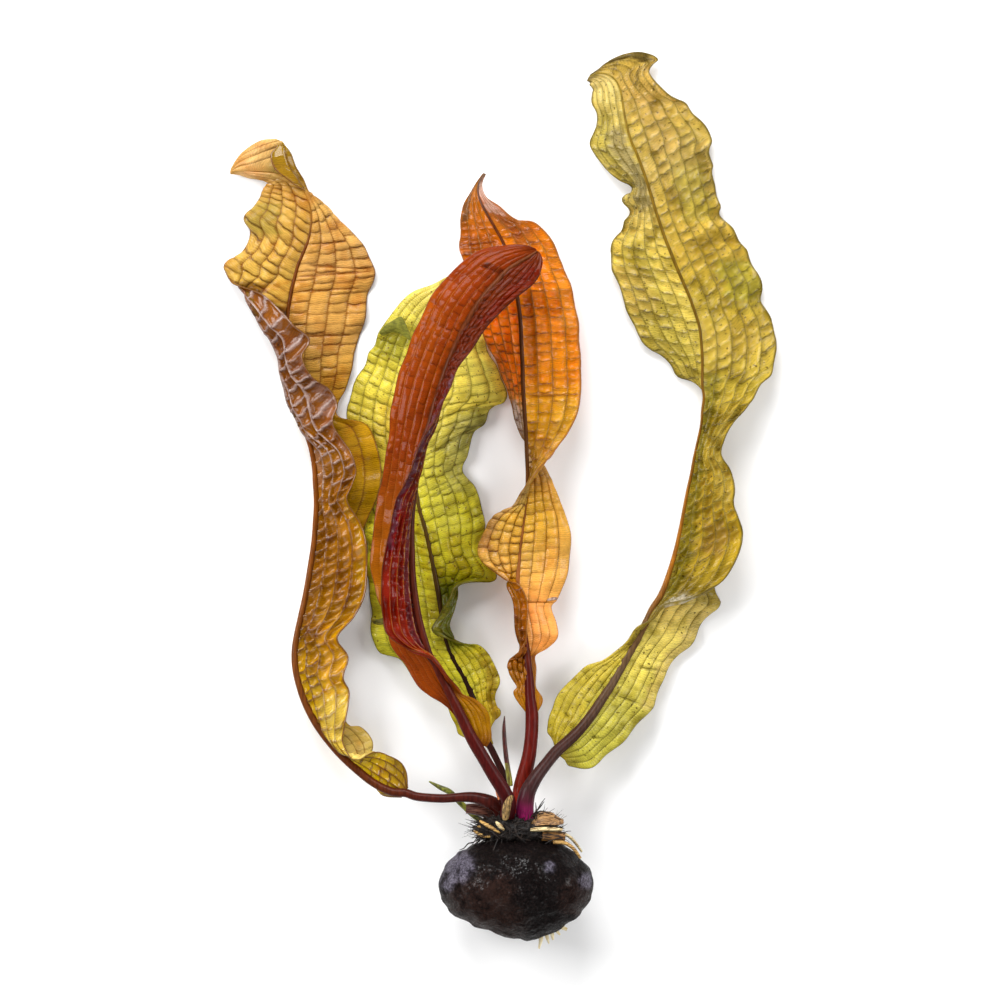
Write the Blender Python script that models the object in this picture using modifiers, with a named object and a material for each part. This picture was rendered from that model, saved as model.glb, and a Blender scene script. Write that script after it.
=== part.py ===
"""Aponogeton, a water plant with a tuber, lying on its back.

Metres, +Z up. The origin is on the surface that the plant lies on, under the middle of the tuber.
The leaves point along +Y and their fronts face +Z.
"""
import math
from typing import NamedTuple

import bmesh
import bpy
from mathutils import Vector, noise

MM = 0.001

# Driving dimensions
TUBER_WIDTH = 0.0385
TUBER_WIDTH_IN_PHOTO = 154.0
PHOTO_PIXEL = TUBER_WIDTH / TUBER_WIDTH_IN_PHOTO
ORIGIN_COLUMN = 516.0
ORIGIN_ROW = 889.0
TOUCHING_GAP = 0.0003

LAMINA_THICKNESS = 0.0007
STATIONS_PER_MIDRIB_STOP = 3
QUILT_HEIGHT = 0.0003
LOWEST_LAMINA_MIDDLE = 0.0004
COLUMNS_PER_HALF = 3
FULL_THICKNESS_HALF_WIDTH = 0.004
LEAST_THICKNESS_SHARE = 0.3
SETTLED_STATION = 8
SAMPLES_PER_STATION = 10
TURN_WEIGHT = 2.0

TUBER_MIDDLE_HEIGHT = 0.015
TUBER_HALF_THICKNESS = 0.0154
TUBER_CENTRE = (516.0, 889.0)
TUBER_LUMP_HEIGHT = 0.0006
TUBER_LUMP_SIZE = 0.006

CROWN_CENTRE = (517.0, 830.0)
CROWN_MIDDLE_HEIGHT = 0.0155
CROWN_HALF_WIDTH = 0.0112
CROWN_HALF_LENGTH = 0.0043
CROWN_HALF_THICKNESS = 0.0078
CROWN_LUMP_HEIGHT = 0.0009
CROWN_LUMP_SIZE = 0.0024

# The tuber's outline, seen from above, as photo columns and rows
TUBER_OUTLINE = (
    (516, 837), (490, 840), (468, 848), (457, 853), (445, 866), (438.5, 884), (441, 898), (448, 909),
    (471, 924), (491, 931), (519, 938.6), (528, 941), (542, 937), (564, 926), (581, 913), (591, 898),
    (593.5, 882), (591, 871), (579, 857), (564, 845), (545, 839),
)

# Each station of a leaf, from its base to its tip, holds three places and two bows.
# A place is a photo column, a photo row and a height in mm: midrib, left edge, right edge.
# A bow is how far, in mm, the half's middle stands off the straight line to its edge.
LEFT_LEAF_STATIONS = (
    ((405, 793, 13.0), (408, 788, 13.6), 0.0, (401, 798, 12.4), 0.0),
    ((392, 792, 12.6), (405, 770, 14.6), 0.3, (386, 797, 11.2), 0.0),
    ((373, 783, 11.6), (393, 756, 15.0), 0.5, (377, 791, 8.8), 0.0),
    ((354, 768, 10.6), (376, 755, 14.6), 0.3, (367, 770, 6.2), -0.3),
    ((341, 756, 9.9), (360, 758, 14.2), 0.0, (372, 748, 5.8), -0.5),
    ((331, 745, 9.5), (349, 755, 13.8), -0.5, (369, 737, 5.4), -0.8),
    ((321.5, 733, 9.2), (342, 742, 13.4), -1.0, (359, 727, 4.8), -1.0),
    ((313, 720, 8.8), (344, 728, 13.2), -1.2, (347, 724, 4.4), -1.0),
    ((305, 704, 8.4), (348, 706, 13.0), -1.4, (341, 710, 3.8), -1.0),
    ((299, 687, 8.0), (349, 691, 12.6), -1.5, (338, 694, 3.2), -1.0),
    ((295, 670, 7.6), (343, 678, 12.4), -1.5, (336, 678, 2.8), -1.0),
    ((294, 653, 7.4), (348, 657, 12.2), -1.5, (338, 656, 2.6), -1.0),
    ((296, 637, 7.4), (337, 638, 12.0), -1.5, (330, 637, 2.4), -1.0),
    ((300.5, 616, 7.4), (354, 617, 12.0), -1.5, (345, 614, 2.4), -1.0),
    ((305.5, 593, 7.4), (364, 596, 12.0), -1.5, (354, 592, 2.4), -1.0),
    ((310, 566, 7.6), (367, 568, 12.2), -1.5, (358, 562, 2.6), -1.0),
    ((313.5, 542, 7.8), (366, 543, 12.4), -1.5, (360, 537, 3.4), -1.0),
    ((315, 522, 8.0), (360, 523, 12.6), -1.5, (367, 519, 4.6), -1.0),
    ((316, 503, 8.2), (347, 501, 13.0), -1.5, (376, 500, 5.6), -0.8),
    ((315, 485, 8.2), (352, 485, 13.2), -1.5, (381, 480, 6.0), -0.8),
    ((314, 468, 8.0), (356, 470, 13.4), -1.6, (380, 462, 6.0), -0.8),
    ((311, 450, 7.8), (350, 451, 13.2), -1.8, (375, 441, 6.0), -0.8),
    ((306, 434, 7.4), (336, 431, 12.8), -2.2, (364, 423, 5.8), -0.8),
    ((300, 419, 7.0), (333, 419, 12.4), -3.0, (338, 417, 5.0), -0.5),
    ((296, 405, 6.6), (336, 404, 12.2), -4.0, (337, 404, 3.8), 0.0),
    ((292, 390, 6.2), (326, 388, 12.0), -4.8, (345, 389, 3.0), 0.3),
    ((289, 374, 5.8), (311, 373, 12.0), -5.4, (350, 372, 2.6), 0.5),
    ((287, 357, 5.5), (301, 354, 11.8), -6.0, (353, 354, 2.4), 0.6),
    ((286, 340, 5.2), (308, 337, 11.4), -7.0, (359, 337, 2.2), 0.7),
    ((286, 325, 5.0), (295, 325, 10.6), -7.4, (363, 323, 2.2), 0.8),
    ((287, 311, 5.0), (279, 311, 9.4), -7.2, (365, 309, 2.2), 0.8),
    ((289, 299, 5.2), (262, 296, 8.0), -5.5, (367, 295, 2.2), 0.8),
    ((291, 288, 5.4), (240, 287, 5.6), -2.5, (371, 284, 2.2), 0.8),
    ((294, 276, 5.6), (225, 275, 3.4), 0.0, (374, 272, 2.2), 0.8),
    ((297, 265, 5.8), (224, 262, 2.6), 0.6, (372, 262, 2.2), 0.8),
    ((302, 253, 6.0), (241, 249, 2.4), 0.8, (365, 248, 2.4), 0.8),
    ((307, 241, 6.2), (249, 231, 2.4), 0.8, (357, 239, 2.8), 0.8),
    ((310, 228, 6.4), (247, 219, 2.4), 0.8, (343, 222, 3.4), 0.8),
    ((311, 215, 6.6), (252, 209, 2.4), 0.8, (330, 208, 4.4), 0.8),
    ((309, 202, 6.8), (258, 200, 2.6), 0.7, (316, 198, 5.6), 0.6),
    ((303, 190, 6.8), (261, 193, 2.8), 0.6, (306, 188, 6.4), 0.5),
    ((295, 181, 6.6), (267, 186, 3.0), 0.5, (301, 174, 6.6), 0.4),
    ((284, 175, 6.2), (267, 183, 3.2), 0.3, (295, 162, 6.6), 0.4),
    ((272, 172, 5.8), (261, 180, 3.4), 0.3, (285, 142, 6.2), 0.5),
    ((260, 171, 5.2), (252, 177, 3.4), 0.2, (270, 140, 5.6), 0.6),
    ((248, 170, 4.6), (244, 174.5, 3.2), 0.1, (254, 139, 4.8), 0.5),
    ((237, 170, 4.0), (236, 173, 3.0), 0.0, (240, 153, 4.0), 0.2),
    ((229, 170.5, 3.4), (229, 172.5, 3.0), 0.0, (230, 167.5, 3.4), 0.0),
)

RED_LEAF_STATIONS = (
    ((475, 743, 22.8), (470, 745, 22.6), 0.0, (486, 746, 20.6), 0.0),
    ((471, 736, 23.0), (466, 738, 22.8), 0.0, (491, 737, 20.0), 0.2),
    ((466, 726, 23.3), (461, 728, 23.0), 0.0, (491, 726, 20.0), 0.3),
    ((461, 715, 23.6), (456, 717, 23.2), 0.0, (488, 714, 20.4), 0.4),
    ((456, 705, 24.0), (450, 709, 23.4), 0.0, (478, 703, 21.2), 0.4),
    ((451, 695, 24.4), (441, 701, 23.4), 0.2, (464, 695, 22.6), 0.2),
    ((446, 685, 24.8), (429, 694, 23.2), 0.4, (458, 687, 25.0), 0.0),
    ((441, 675, 25.2), (417, 685, 23.0), 0.5, (451, 678, 27.8), -0.2),
    ((436, 664, 25.6), (405, 664, 22.6), 0.5, (443, 667, 29.4), -0.4),
    ((430, 655, 26.0), (397, 653, 22.2), 0.4, (430, 655, 30.2), -0.6),
    ((427, 646, 26.3), (391, 642, 22.0), 0.0, (406, 647, 29.6), -0.8),
    ((423, 633, 26.6), (388, 628, 21.6), -0.5, (387.5, 633, 30.2), -1.0),
    ((419, 617, 26.8), (385, 613, 21.2), -0.8, (383.5, 616, 30.8), -1.2),
    ((416, 600, 27.0), (379, 601, 21.0), -1.0, (382, 600, 31.4), -1.4),
    ((414, 585, 27.0), (375, 587, 20.8), -1.0, (382, 583, 31.8), -1.5),
    ((412.5, 568, 27.0), (371, 568, 20.6), -1.0, (383, 567, 32.4), -1.5),
    ((412, 550, 27.0), (371.5, 548, 20.6), -1.0, (386, 550, 33.0), -1.5),
    ((411.5, 532, 27.0), (374, 530, 20.8), -1.0, (390, 532, 33.6), -1.5),
    ((412, 515, 27.0), (376, 512, 21.2), -1.0, (393, 516, 34.0), -1.6),
    ((413.5, 500, 26.9), (378, 495, 21.6), -0.8, (397, 500, 34.4), -1.8),
    ((415.5, 485, 26.8), (382, 482, 22.2), -0.6, (405, 485, 34.8), -1.8),
    ((418, 470, 26.7), (385, 465, 22.8), -0.4, (411, 470, 35.0), -1.8),
    ((421, 455, 26.6), (387, 449, 23.4), 0.0, (417, 455, 35.0), -1.7),
    ((424.5, 440, 26.4), (389.5, 434, 23.8), 0.3, (424, 440, 35.0), -1.5),
    ((430, 425, 26.2), (391, 416, 24.0), 0.6, (432, 426, 34.8), -1.3),
    ((434, 409, 26.0), (393, 400, 24.0), 0.8, (441, 410, 34.2), -0.9),
    ((438.5, 394, 25.7), (397, 383, 23.8), 1.0, (448, 395, 33.4), -0.5),
    ((444, 377, 25.3), (403, 363, 23.4), 1.1, (455, 377, 32.2), -0.2),
    ((450, 360, 24.9), (410, 345, 23.0), 1.2, (465, 361, 30.8), 0.0),
    ((458, 342, 24.4), (418, 326, 22.4), 1.2, (477, 343, 29.2), 0.0),
    ((466.5, 324, 23.8), (427, 306, 21.8), 1.2, (490, 325, 27.6), 0.0),
    ((476, 308, 23.2), (436, 291, 21.0), 1.2, (504, 309, 26.2), 0.2),
    ((486, 294, 22.4), (448, 276, 20.4), 1.1, (519, 297, 24.6), 0.3),
    ((496, 283, 21.6), (461, 264, 19.8), 1.0, (531, 287, 23.0), 0.4),
    ((507, 271, 20.8), (476, 254, 19.2), 0.9, (538, 278, 21.6), 0.5),
    ((517, 264, 20.2), (492, 247.5, 18.8), 0.8, (541, 270, 20.6), 0.4),
    ((527, 258, 19.6), (510, 245, 18.6), 0.6, (542, 262, 19.6), 0.2),
    ((533, 254, 19.2), (525, 246, 18.6), 0.3, (541, 257, 19.2), 0.1),
    ((537, 251, 18.9), (535, 249, 18.8), 0.0, (539, 253, 18.9), 0.0),
)

GREEN_LEAF_STATIONS = (
    ((490, 747, 9.4), (487, 748, 9.2), 0.0, (493, 745, 9.2), 0.0),
    ((486, 740, 9.1), (472, 738, 8.4), 0.2, (490, 729, 8.4), 0.2),
    ((481, 728, 8.7), (458, 734, 7.6), 0.3, (500, 716, 7.8), 0.3),
    ((477, 712, 8.2), (454, 722, 7.0), 0.3, (497, 708, 7.4), 0.3),
    ((472, 696, 7.8), (447, 706, 6.4), 0.4, (495, 694, 7.0), 0.4),
    ((466, 682, 7.4), (430, 695, 6.0), 0.5, (499, 680, 6.6), 0.5),
    ((459, 670, 7.0), (416, 682, 5.4), 0.6, (494, 663, 6.4), 0.5),
    ((453, 659, 6.8), (400, 661, 5.0), 0.6, (484, 650, 6.8), 0.4),
    ((449, 649, 6.6), (380, 654, 4.4), 0.8, (470, 643, 7.2), 0.0),
    ((446, 639, 6.4), (373, 640, 4.0), 0.8, (450, 641, 9.8), -1.6),
    ((443.5, 627, 6.2), (370, 626, 3.8), 0.8, (432, 630, 10.8), -3.2),
    ((441.5, 614, 6.0), (371, 612, 3.6), 0.8, (441, 614, 10.6), -3.4),
    ((439.5, 602, 5.8), (370, 598, 3.4), 0.8, (446, 601, 10.4), -3.6),
    ((437.5, 590, 5.6), (368, 585, 3.2), 0.8, (455, 588, 9.4), -3.8),
    ((435, 577, 5.4), (366, 571, 3.0), 0.8, (480, 583, 6.6), -2.0),
    ((432.5, 564, 5.2), (366, 557, 2.8), 0.8, (497, 577, 4.4), 0.4),
    ((430, 551, 5.1), (366, 543, 2.6), 0.8, (484, 558, 3.6), 0.7),
    ((427, 537, 5.0), (364, 528, 2.4), 0.8, (482, 542, 3.2), 0.8),
    ((423, 523, 5.0), (362, 512, 2.2), 0.8, (484, 524, 3.0), 0.8),
    ((419, 508, 4.9), (359, 496, 2.0), 0.8, (482, 508, 2.8), 0.8),
    ((416, 491, 4.8), (356, 478, 1.9), 0.8, (475, 489, 2.8), 0.7),
    ((413.5, 473, 4.8), (353, 458, 1.8), 0.8, (463, 471, 3.0), 0.6),
    ((412, 456, 4.7), (350, 438, 1.8), 0.8, (467, 455, 3.0), 0.6),
    ((411.5, 440, 4.6), (347.5, 420, 1.8), 0.8, (473, 434, 3.0), 0.6),
    ((412, 425, 4.6), (347.5, 405, 1.8), 0.8, (484, 424, 2.8), 0.7),
    ((413, 409, 4.6), (352, 388, 1.8), 0.8, (489, 409, 2.6), 0.8),
    ((415, 394, 4.6), (360, 371, 1.8), 0.9, (504, 402, 2.4), 0.8),
    ((417.5, 377, 4.6), (368, 355, 2.0), 0.9, (506, 388, 2.4), 0.9),
    ((421, 360, 4.8), (373, 345, 2.4), 0.9, (498, 370, 2.4), 0.9),
    ((426, 342, 5.0), (381, 330, 3.0), 0.9, (489, 352, 2.6), 0.9),
    ((432, 326, 5.0), (392, 310, 3.4), 0.9, (484, 335, 2.8), 0.8),
    ((438, 311, 4.8), (411, 294, 3.4), 0.7, (482, 318, 3.0), 0.7),
    ((446, 297, 4.4), (431, 283, 3.2), 0.5, (479, 302, 3.0), 0.5),
    ((455, 285, 4.0), (448, 276, 3.0), 0.2, (472, 288, 3.0), 0.2),
    ((463, 275, 3.6), (461, 273, 3.4), 0.0, (466, 277, 3.4), 0.0),
)

ORANGE_LEAF_STATIONS = (
    ((532, 717, 12.2), (528, 715, 12.2), 0.0, (536, 714, 12.2), 0.0),
    ((531, 705, 12.0), (519, 703, 11.8), 0.2, (542, 704, 11.8), 0.2),
    ((530, 696, 11.8), (514, 693, 11.4), 0.3, (542.5, 697, 11.4), 0.3),
    ((529.5, 687, 11.6), (517, 687, 11.2), 0.2, (536, 688, 11.2), 0.2),
    ((529, 677, 11.4), (512, 679, 10.8), 0.3, (535, 678, 10.8), 0.3),
    ((528, 667, 11.2), (508, 667, 10.4), 0.3, (536, 667, 10.4), 0.3),
    ((527, 657, 11.0), (511, 658, 10.6), 0.0, (536, 656, 10.2), 0.2),
    ((526, 649, 10.8), (518.5, 651, 13.6), -0.6, (547, 649, 9.6), 0.2),
    ((524.5, 638, 10.6), (526, 641, 14.0), -1.8, (557, 638, 8.8), 0.3),
    ((522.5, 624, 10.4), (527, 625, 15.0), -2.6, (555.5, 624, 8.4), 0.4),
    ((520, 610, 10.2), (528, 609, 15.4), -2.8, (551, 608, 8.0), 0.5),
    ((518.5, 598, 10.0), (526, 597, 15.0), -2.8, (557, 600, 7.6), 0.6),
    ((517.5, 587, 9.8), (519, 585, 13.6), -2.6, (562, 589, 7.2), 0.7),
    ((518, 575, 9.6), (503, 578, 11.2), -1.6, (567, 575, 6.8), 0.7),
    ((519, 562, 9.5), (485, 565, 8.6), 0.2, (570, 560, 6.6), 0.7),
    ((520, 549, 9.4), (478, 549, 7.6), 0.8, (571, 546, 6.6), 0.7),
    ((522, 535, 9.4), (483, 533, 7.4), 0.9, (569.5, 531, 6.8), 0.7),
    ((524, 519, 9.5), (495, 517, 8.0), 0.8, (566.5, 515, 7.2), 0.7),
    ((526, 504, 9.7), (513, 505.5, 9.8), 0.4, (559, 501, 7.6), 0.6),
    ((527, 492, 9.9), (521, 491, 12.4), 0.2, (555, 489, 7.6), 0.5),
    ((527.5, 481, 10.1), (528, 480, 14.2), 0.2, (551.5, 478, 7.2), 0.3),
    ((527.5, 470, 10.3), (538, 470, 14.6), 0.2, (544, 467, 6.4), 0.1),
    ((527, 458, 10.4), (550, 458, 13.6), 0.2, (533, 454, 6.0), 0.0),
    ((526.5, 446, 10.5), (560, 443, 11.8), 0.0, (525, 441, 6.0), 0.0),
    ((526, 432, 10.6), (569, 431, 10.2), -0.4, (520, 429, 6.4), -0.2),
    ((525, 418, 10.7), (576, 417, 9.2), -0.6, (512.5, 416, 6.8), -0.3),
    ((524, 402, 10.8), (580, 401, 8.6), -0.8, (508.5, 400, 7.2), -0.4),
    ((523, 385, 10.9), (582, 382, 8.2), -0.9, (506.5, 386, 7.6), -0.5),
    ((522.5, 365, 11.0), (581, 361, 8.0), -0.9, (497, 364, 8.0), -0.6),
    ((521.5, 344, 11.0), (580, 340, 8.0), -0.9, (487, 343, 8.2), -0.7),
    ((520.5, 322, 11.0), (578.5, 320, 8.0), -0.9, (479, 322, 8.4), -0.7),
    ((518, 301, 11.0), (574.5, 298, 8.0), -0.9, (472, 300, 8.4), -0.8),
    ((514, 280, 11.0), (568.5, 279, 8.0), -0.9, (467, 280, 8.2), -0.8),
    ((509, 260, 10.8), (560.5, 258, 8.0), -0.8, (463.5, 260, 7.8), -0.8),
    ((503.5, 243, 10.4), (551, 240, 7.8), -0.7, (458.5, 247, 7.4), -0.7),
    ((496, 229, 9.9), (535, 222.5, 7.6), -0.5, (460, 232, 7.0), -0.5),
    ((488, 215, 9.4), (517, 218, 7.6), -0.4, (461.5, 217, 6.8), -0.4),
    ((481.5, 203, 8.8), (500, 206.5, 7.4), -0.3, (464, 204, 6.8), -0.3),
    ((478, 192, 8.2), (487, 197, 7.2), -0.2, (469, 193, 6.8), -0.1),
    ((479, 182, 7.6), (482.5, 184, 7.2), 0.0, (475, 183, 7.0), 0.0),
    ((484.5, 172.5, 7.0), (486, 173, 6.9), 0.0, (483, 172, 6.9), 0.0),
)

RIGHT_LEAF_STATIONS = (
    ((556, 752, 14.6), (555, 744, 14.6), 0.0, (562, 759, 14.4), 0.0),
    ((565, 744, 13.7), (549, 736, 12.6), 0.2, (572, 767, 12.4), 0.2),
    ((575, 735, 12.8), (547, 728, 11.6), 0.3, (590, 767.5, 11.0), 0.3),
    ((585, 724, 12.0), (551, 715, 10.6), 0.4, (609, 754, 9.8), 0.4),
    ((594, 712, 11.2), (554, 704, 9.8), 0.5, (624, 740, 8.8), 0.5),
    ((602, 700, 10.5), (562, 691, 9.2), 0.6, (638, 725, 8.0), 0.5),
    ((610, 688, 9.9), (574, 677, 8.8), 0.6, (650, 712, 7.2), 0.5),
    ((617, 676, 9.4), (587, 668, 8.6), 0.6, (656, 702, 6.6), 0.5),
    ((624, 664, 9.0), (602, 661, 9.0), 0.5, (661, 687, 6.0), 0.5),
    ((631, 652, 8.8), (617, 651, 9.6), 0.3, (668, 670, 5.4), 0.5),
    ((637, 641, 8.6), (628, 640, 10.2), 0.1, (680, 656, 5.0), 0.5),
    ((643, 630, 8.5), (638, 628, 11.0), 0.0, (693, 643, 4.6), 0.5),
    ((648, 620, 8.4), (650, 619, 12.2), 0.0, (702, 627, 4.2), 0.4),
    ((653, 609, 8.4), (664, 607, 13.4), 0.2, (712, 613, 4.0), 0.3),
    ((660, 598, 8.4), (684, 598, 14.2), 0.4, (722, 603, 3.8), 0.0),
    ((665, 587, 8.4), (708, 592, 14.0), 0.2, (716, 590, 3.6), -0.3),
    ((669.5, 574, 8.4), (724, 579, 13.6), -0.4, (713, 576, 3.4), -0.5),
    ((674, 559, 8.4), (738, 557, 13.2), -0.8, (713, 559, 3.2), -0.7),
    ((678, 543, 8.4), (743, 534, 13.0), -1.0, (715, 541, 3.0), -0.8),
    ((682, 524, 8.4), (738.5, 517, 13.0), -1.2, (716, 522, 3.0), -0.8),
    ((685, 508, 8.4), (734, 504, 13.0), -1.2, (714, 505, 3.0), -0.8),
    ((688, 492, 8.4), (735, 488, 13.0), -1.2, (711, 488, 3.0), -0.8),
    ((692, 474, 8.4), (731, 471, 13.0), -1.2, (708, 470, 3.0), -0.8),
    ((695, 457, 8.4), (721.5, 454, 13.0), -1.2, (706, 452, 3.0), -0.8),
    ((699, 439, 8.4), (725, 439, 12.8), -1.2, (712, 434, 3.0), -0.8),
    ((702, 424, 8.4), (734, 422, 12.4), -1.1, (728, 420, 3.0), -0.8),
    ((703, 410, 8.4), (746, 409, 11.8), -1.0, (732, 405, 3.0), -0.8),
    ((704.5, 397, 8.4), (754, 398, 10.8), -0.9, (722, 394, 3.0), -0.7),
    ((703, 385, 8.5), (761, 385, 9.6), -0.8, (702, 386, 3.0), -0.5),
    ((703, 372, 8.6), (773, 373, 8.0), -0.8, (682, 378, 3.4), -0.3),
    ((703, 358, 8.7), (776, 356, 6.8), -0.8, (673, 366, 4.0), -0.4),
    ((702, 342, 8.8), (777, 336, 5.8), -0.9, (655, 352, 4.6), -0.6),
    ((700, 326, 8.8), (773, 320, 5.2), -0.9, (641, 337, 4.8), -0.8),
    ((695, 310, 8.8), (763, 302, 4.8), -0.9, (630, 318, 4.8), -0.9),
    ((690, 296, 8.8), (764, 288, 4.6), -0.9, (625, 301, 4.8), -0.9),
    ((683.5, 281, 8.8), (757, 271, 4.4), -0.9, (617, 280, 4.8), -0.9),
    ((677, 266, 8.8), (750.5, 256, 4.2), -0.9, (613, 265, 4.8), -0.9),
    ((671, 251, 8.8), (744, 244, 4.2), -0.9, (611, 250, 4.8), -0.8),
    ((665, 236, 8.8), (735, 231, 4.2), -0.9, (617, 234, 4.8), -0.8),
    ((660, 221, 8.8), (722, 214, 4.4), -0.8, (625, 223, 5.2), -0.6),
    ((655, 206, 8.8), (720.5, 204, 4.4), -0.8, (629.5, 211, 5.6), -0.4),
    ((651, 192, 8.8), (718, 190, 4.6), -0.8, (624, 198, 5.6), -0.4),
    ((646.5, 178, 8.8), (712.5, 174, 4.6), -0.8, (630, 187, 5.8), -0.4),
    ((642, 165, 8.8), (714.5, 164, 4.8), -0.7, (620, 177, 5.6), -0.5),
    ((637, 152, 8.8), (709, 151, 5.0), -0.7, (603, 165, 5.2), -0.6),
    ((632, 141, 8.7), (713, 138, 5.2), -0.7, (590, 145, 5.0), -0.6),
    ((628, 128, 8.5), (707, 125, 5.4), -0.6, (596, 129, 5.2), -0.6),
    ((625, 114, 8.2), (694, 113, 5.6), -0.6, (596, 113, 5.2), -0.6),
    ((623, 101, 7.9), (686, 100, 5.8), -0.5, (593, 101, 5.2), -0.6),
    ((621, 90, 7.5), (667, 92, 6.0), -0.5, (592, 90, 5.2), -0.5),
    ((617, 80, 7.0), (654, 75, 6.0), -0.5, (592, 86, 5.0), -0.4),
    ((611, 74, 6.5), (655, 57, 5.8), -0.5, (591.5, 83.5, 4.8), -0.2),
    ((604, 71.5, 6.0), (639, 51.5, 5.6), -0.4, (590.5, 82, 4.6), -0.1),
    ((597, 71.5, 5.4), (614, 58, 5.2), -0.2, (589.5, 80.5, 4.4), 0.0),
    ((592, 73.5, 4.8), (599, 66.5, 4.8), 0.0, (588.5, 79.5, 4.4), 0.0),
    ((588.5, 76.5, 4.4), (591, 72, 4.4), 0.0, (587.5, 79, 4.2), 0.0),
)

# A route holds photo column, photo row, height in mm and radius in mm, from the crown outwards
LEFT_STALK_ROUTE = (
    (503, 817, 14.8, 1.8), (498, 807, 15.8, 1.8), (490, 802, 16.0, 1.75), (480, 798.5, 15.6, 1.5),
    (469, 797, 15.2, 1.3), (457, 797.5, 14.8, 1.15), (444, 798.5, 14.4, 1.1), (430, 798, 14.0, 1.1),
    (416, 796.5, 13.5, 1.1),
)
RED_STALK_ROUTE = (
    (507, 817, 20.0, 1.85), (508.5, 802, 20.8, 1.85), (503, 789, 21.4, 1.8), (494, 775, 21.9, 1.7),
    (485, 760, 22.4, 1.6),
)
GREEN_STALK_ROUTE = (
    (509, 812, 10.8, 1.0), (507.5, 795, 10.9, 1.0), (504, 777, 10.6, 0.9), (497, 761, 10.0, 0.85),
)
ORANGE_STALK_ROUTE = (
    (521, 822, 13.2, 2.2), (521, 806, 13.4, 2.2), (521.5, 790, 13.4, 2.15), (524.5, 775, 13.2, 1.95),
    (529, 756, 12.9, 1.75), (531.5, 735, 12.6, 1.65),
)
RIGHT_STALK_ROUTE = (
    (525, 819, 18.2, 2.2), (525, 805, 18.8, 2.2), (528, 791, 19.0, 2.0), (536, 777, 18.2, 1.7),
    (546, 764, 16.6, 1.5),
)


class Leaf(NamedTuple):
    """One leaf: its blade's stations, its stalk's route and how the two are divided."""

    name: str
    stations: tuple
    stalk_route: tuple
    blade_rows: int
    midrib_end_radius: float
    midrib_reach: float
    settle: float
    colour: tuple


class Strand(NamedTuple):
    """A thin rounded piece that follows a route."""

    name: str
    route: tuple
    colour: tuple
    roughness: float


LEAVES = (
    Leaf("leaf_left", LEFT_LEAF_STATIONS, LEFT_STALK_ROUTE, 29, 0.6, 0.50, 1.4, (0.55, 0.30, 0.06)),
    Leaf("leaf_red", RED_LEAF_STATIONS, RED_STALK_ROUTE, 24, 0.6, 0.66, 0.0, (0.36, 0.05, 0.01)),
    Leaf("leaf_green", GREEN_LEAF_STATIONS, GREEN_STALK_ROUTE, 24, 0.5, 0.45, 1.3, (0.50, 0.48, 0.06)),
    Leaf("leaf_orange", ORANGE_LEAF_STATIONS, ORANGE_STALK_ROUTE, 27, 0.5, 0.55, 0.0, (0.62, 0.27, 0.03)),
    Leaf("leaf_right", RIGHT_LEAF_STATIONS, RIGHT_STALK_ROUTE, 31, 0.6, 0.56, 2.5, (0.44, 0.38, 0.06)),
)

STRAW = (0.58, 0.38, 0.10)
CREAM = (0.78, 0.66, 0.38)

STRANDS = (
    Strand("young_shoot", ((504.5, 716, 14.6, 0.12), (504, 728, 14.7, 0.5), (505, 750, 14.9, 0.6),
                           (508, 770, 15.2, 0.65), (510.5, 786, 15.6, 0.6)), (0.10, 0.03, 0.02), 0.4),
    Strand("young_leaf", ((429, 782, 9.4, 0.2), (440, 788, 9.6, 0.6), (450, 793, 9.8, 0.75),
                          (462, 805, 9.8, 0.75), (475, 817, 9.8, 0.75), (484, 823, 10.0, 0.7)),
           (0.25, 0.26, 0.03), 0.5),
    Strand("stalk_stub", ((466, 809, 12.8, 1.3), (476, 809.5, 12.8, 1.45), (485, 812, 12.5, 1.5),
                          (491, 817, 12.0, 1.4)), (0.16, 0.07, 0.06), 0.5),
    Strand("orange_sheath", ((495.5, 787, 18.4, 0.2), (498, 793, 18.6, 0.5), (500, 799, 18.8, 0.5)),
           (0.60, 0.20, 0.06), 0.5),
    Strand("root_tube", ((542, 835.5, 20.8, 1.2), (552, 836, 20.2, 1.3), (564, 836.5, 19.4, 1.3)),
           (0.12, 0.08, 0.04), 0.7),
    Strand("root_pale", ((530, 829, 22.2, 0.4), (546, 828.5, 21.6, 0.5), (562, 829, 20.6, 0.35)),
           CREAM, 0.7),
    Strand("root_hanging_long", ((553, 841.5, 21.8, 0.45), (564, 842, 21.6, 0.5), (573, 847.5, 21.2, 0.45),
                                 (580.5, 857.5, 20.6, 0.3)), STRAW, 0.7),
    Strand("root_hanging_outer", ((563, 833, 15.0, 0.35), (572, 839, 14.2, 0.4), (582, 852, 13.6, 0.25)),
           CREAM, 0.7),
    Strand("root_straw_upper", ((500, 832, 22.4, 0.4), (490, 826, 21.6, 0.55), (480, 820.5, 19.6, 0.4)),
           STRAW, 0.7),
    Strand("root_straw_middle", ((494, 833, 20.6, 0.35), (485, 828, 19.4, 0.4), (478, 826, 17.8, 0.3)),
           STRAW, 0.7),
    Strand("root_straw_lower", ((493, 836, 20.4, 0.4), (483, 835, 19.2, 0.55), (474, 831, 17.0, 0.35)),
           STRAW, 0.7),
    Strand("root_stub", ((504, 829, 23.2, 0.45), (500, 825, 23.4, 0.55), (496, 821, 22.8, 0.45)),
           CREAM, 0.7),
)

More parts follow.
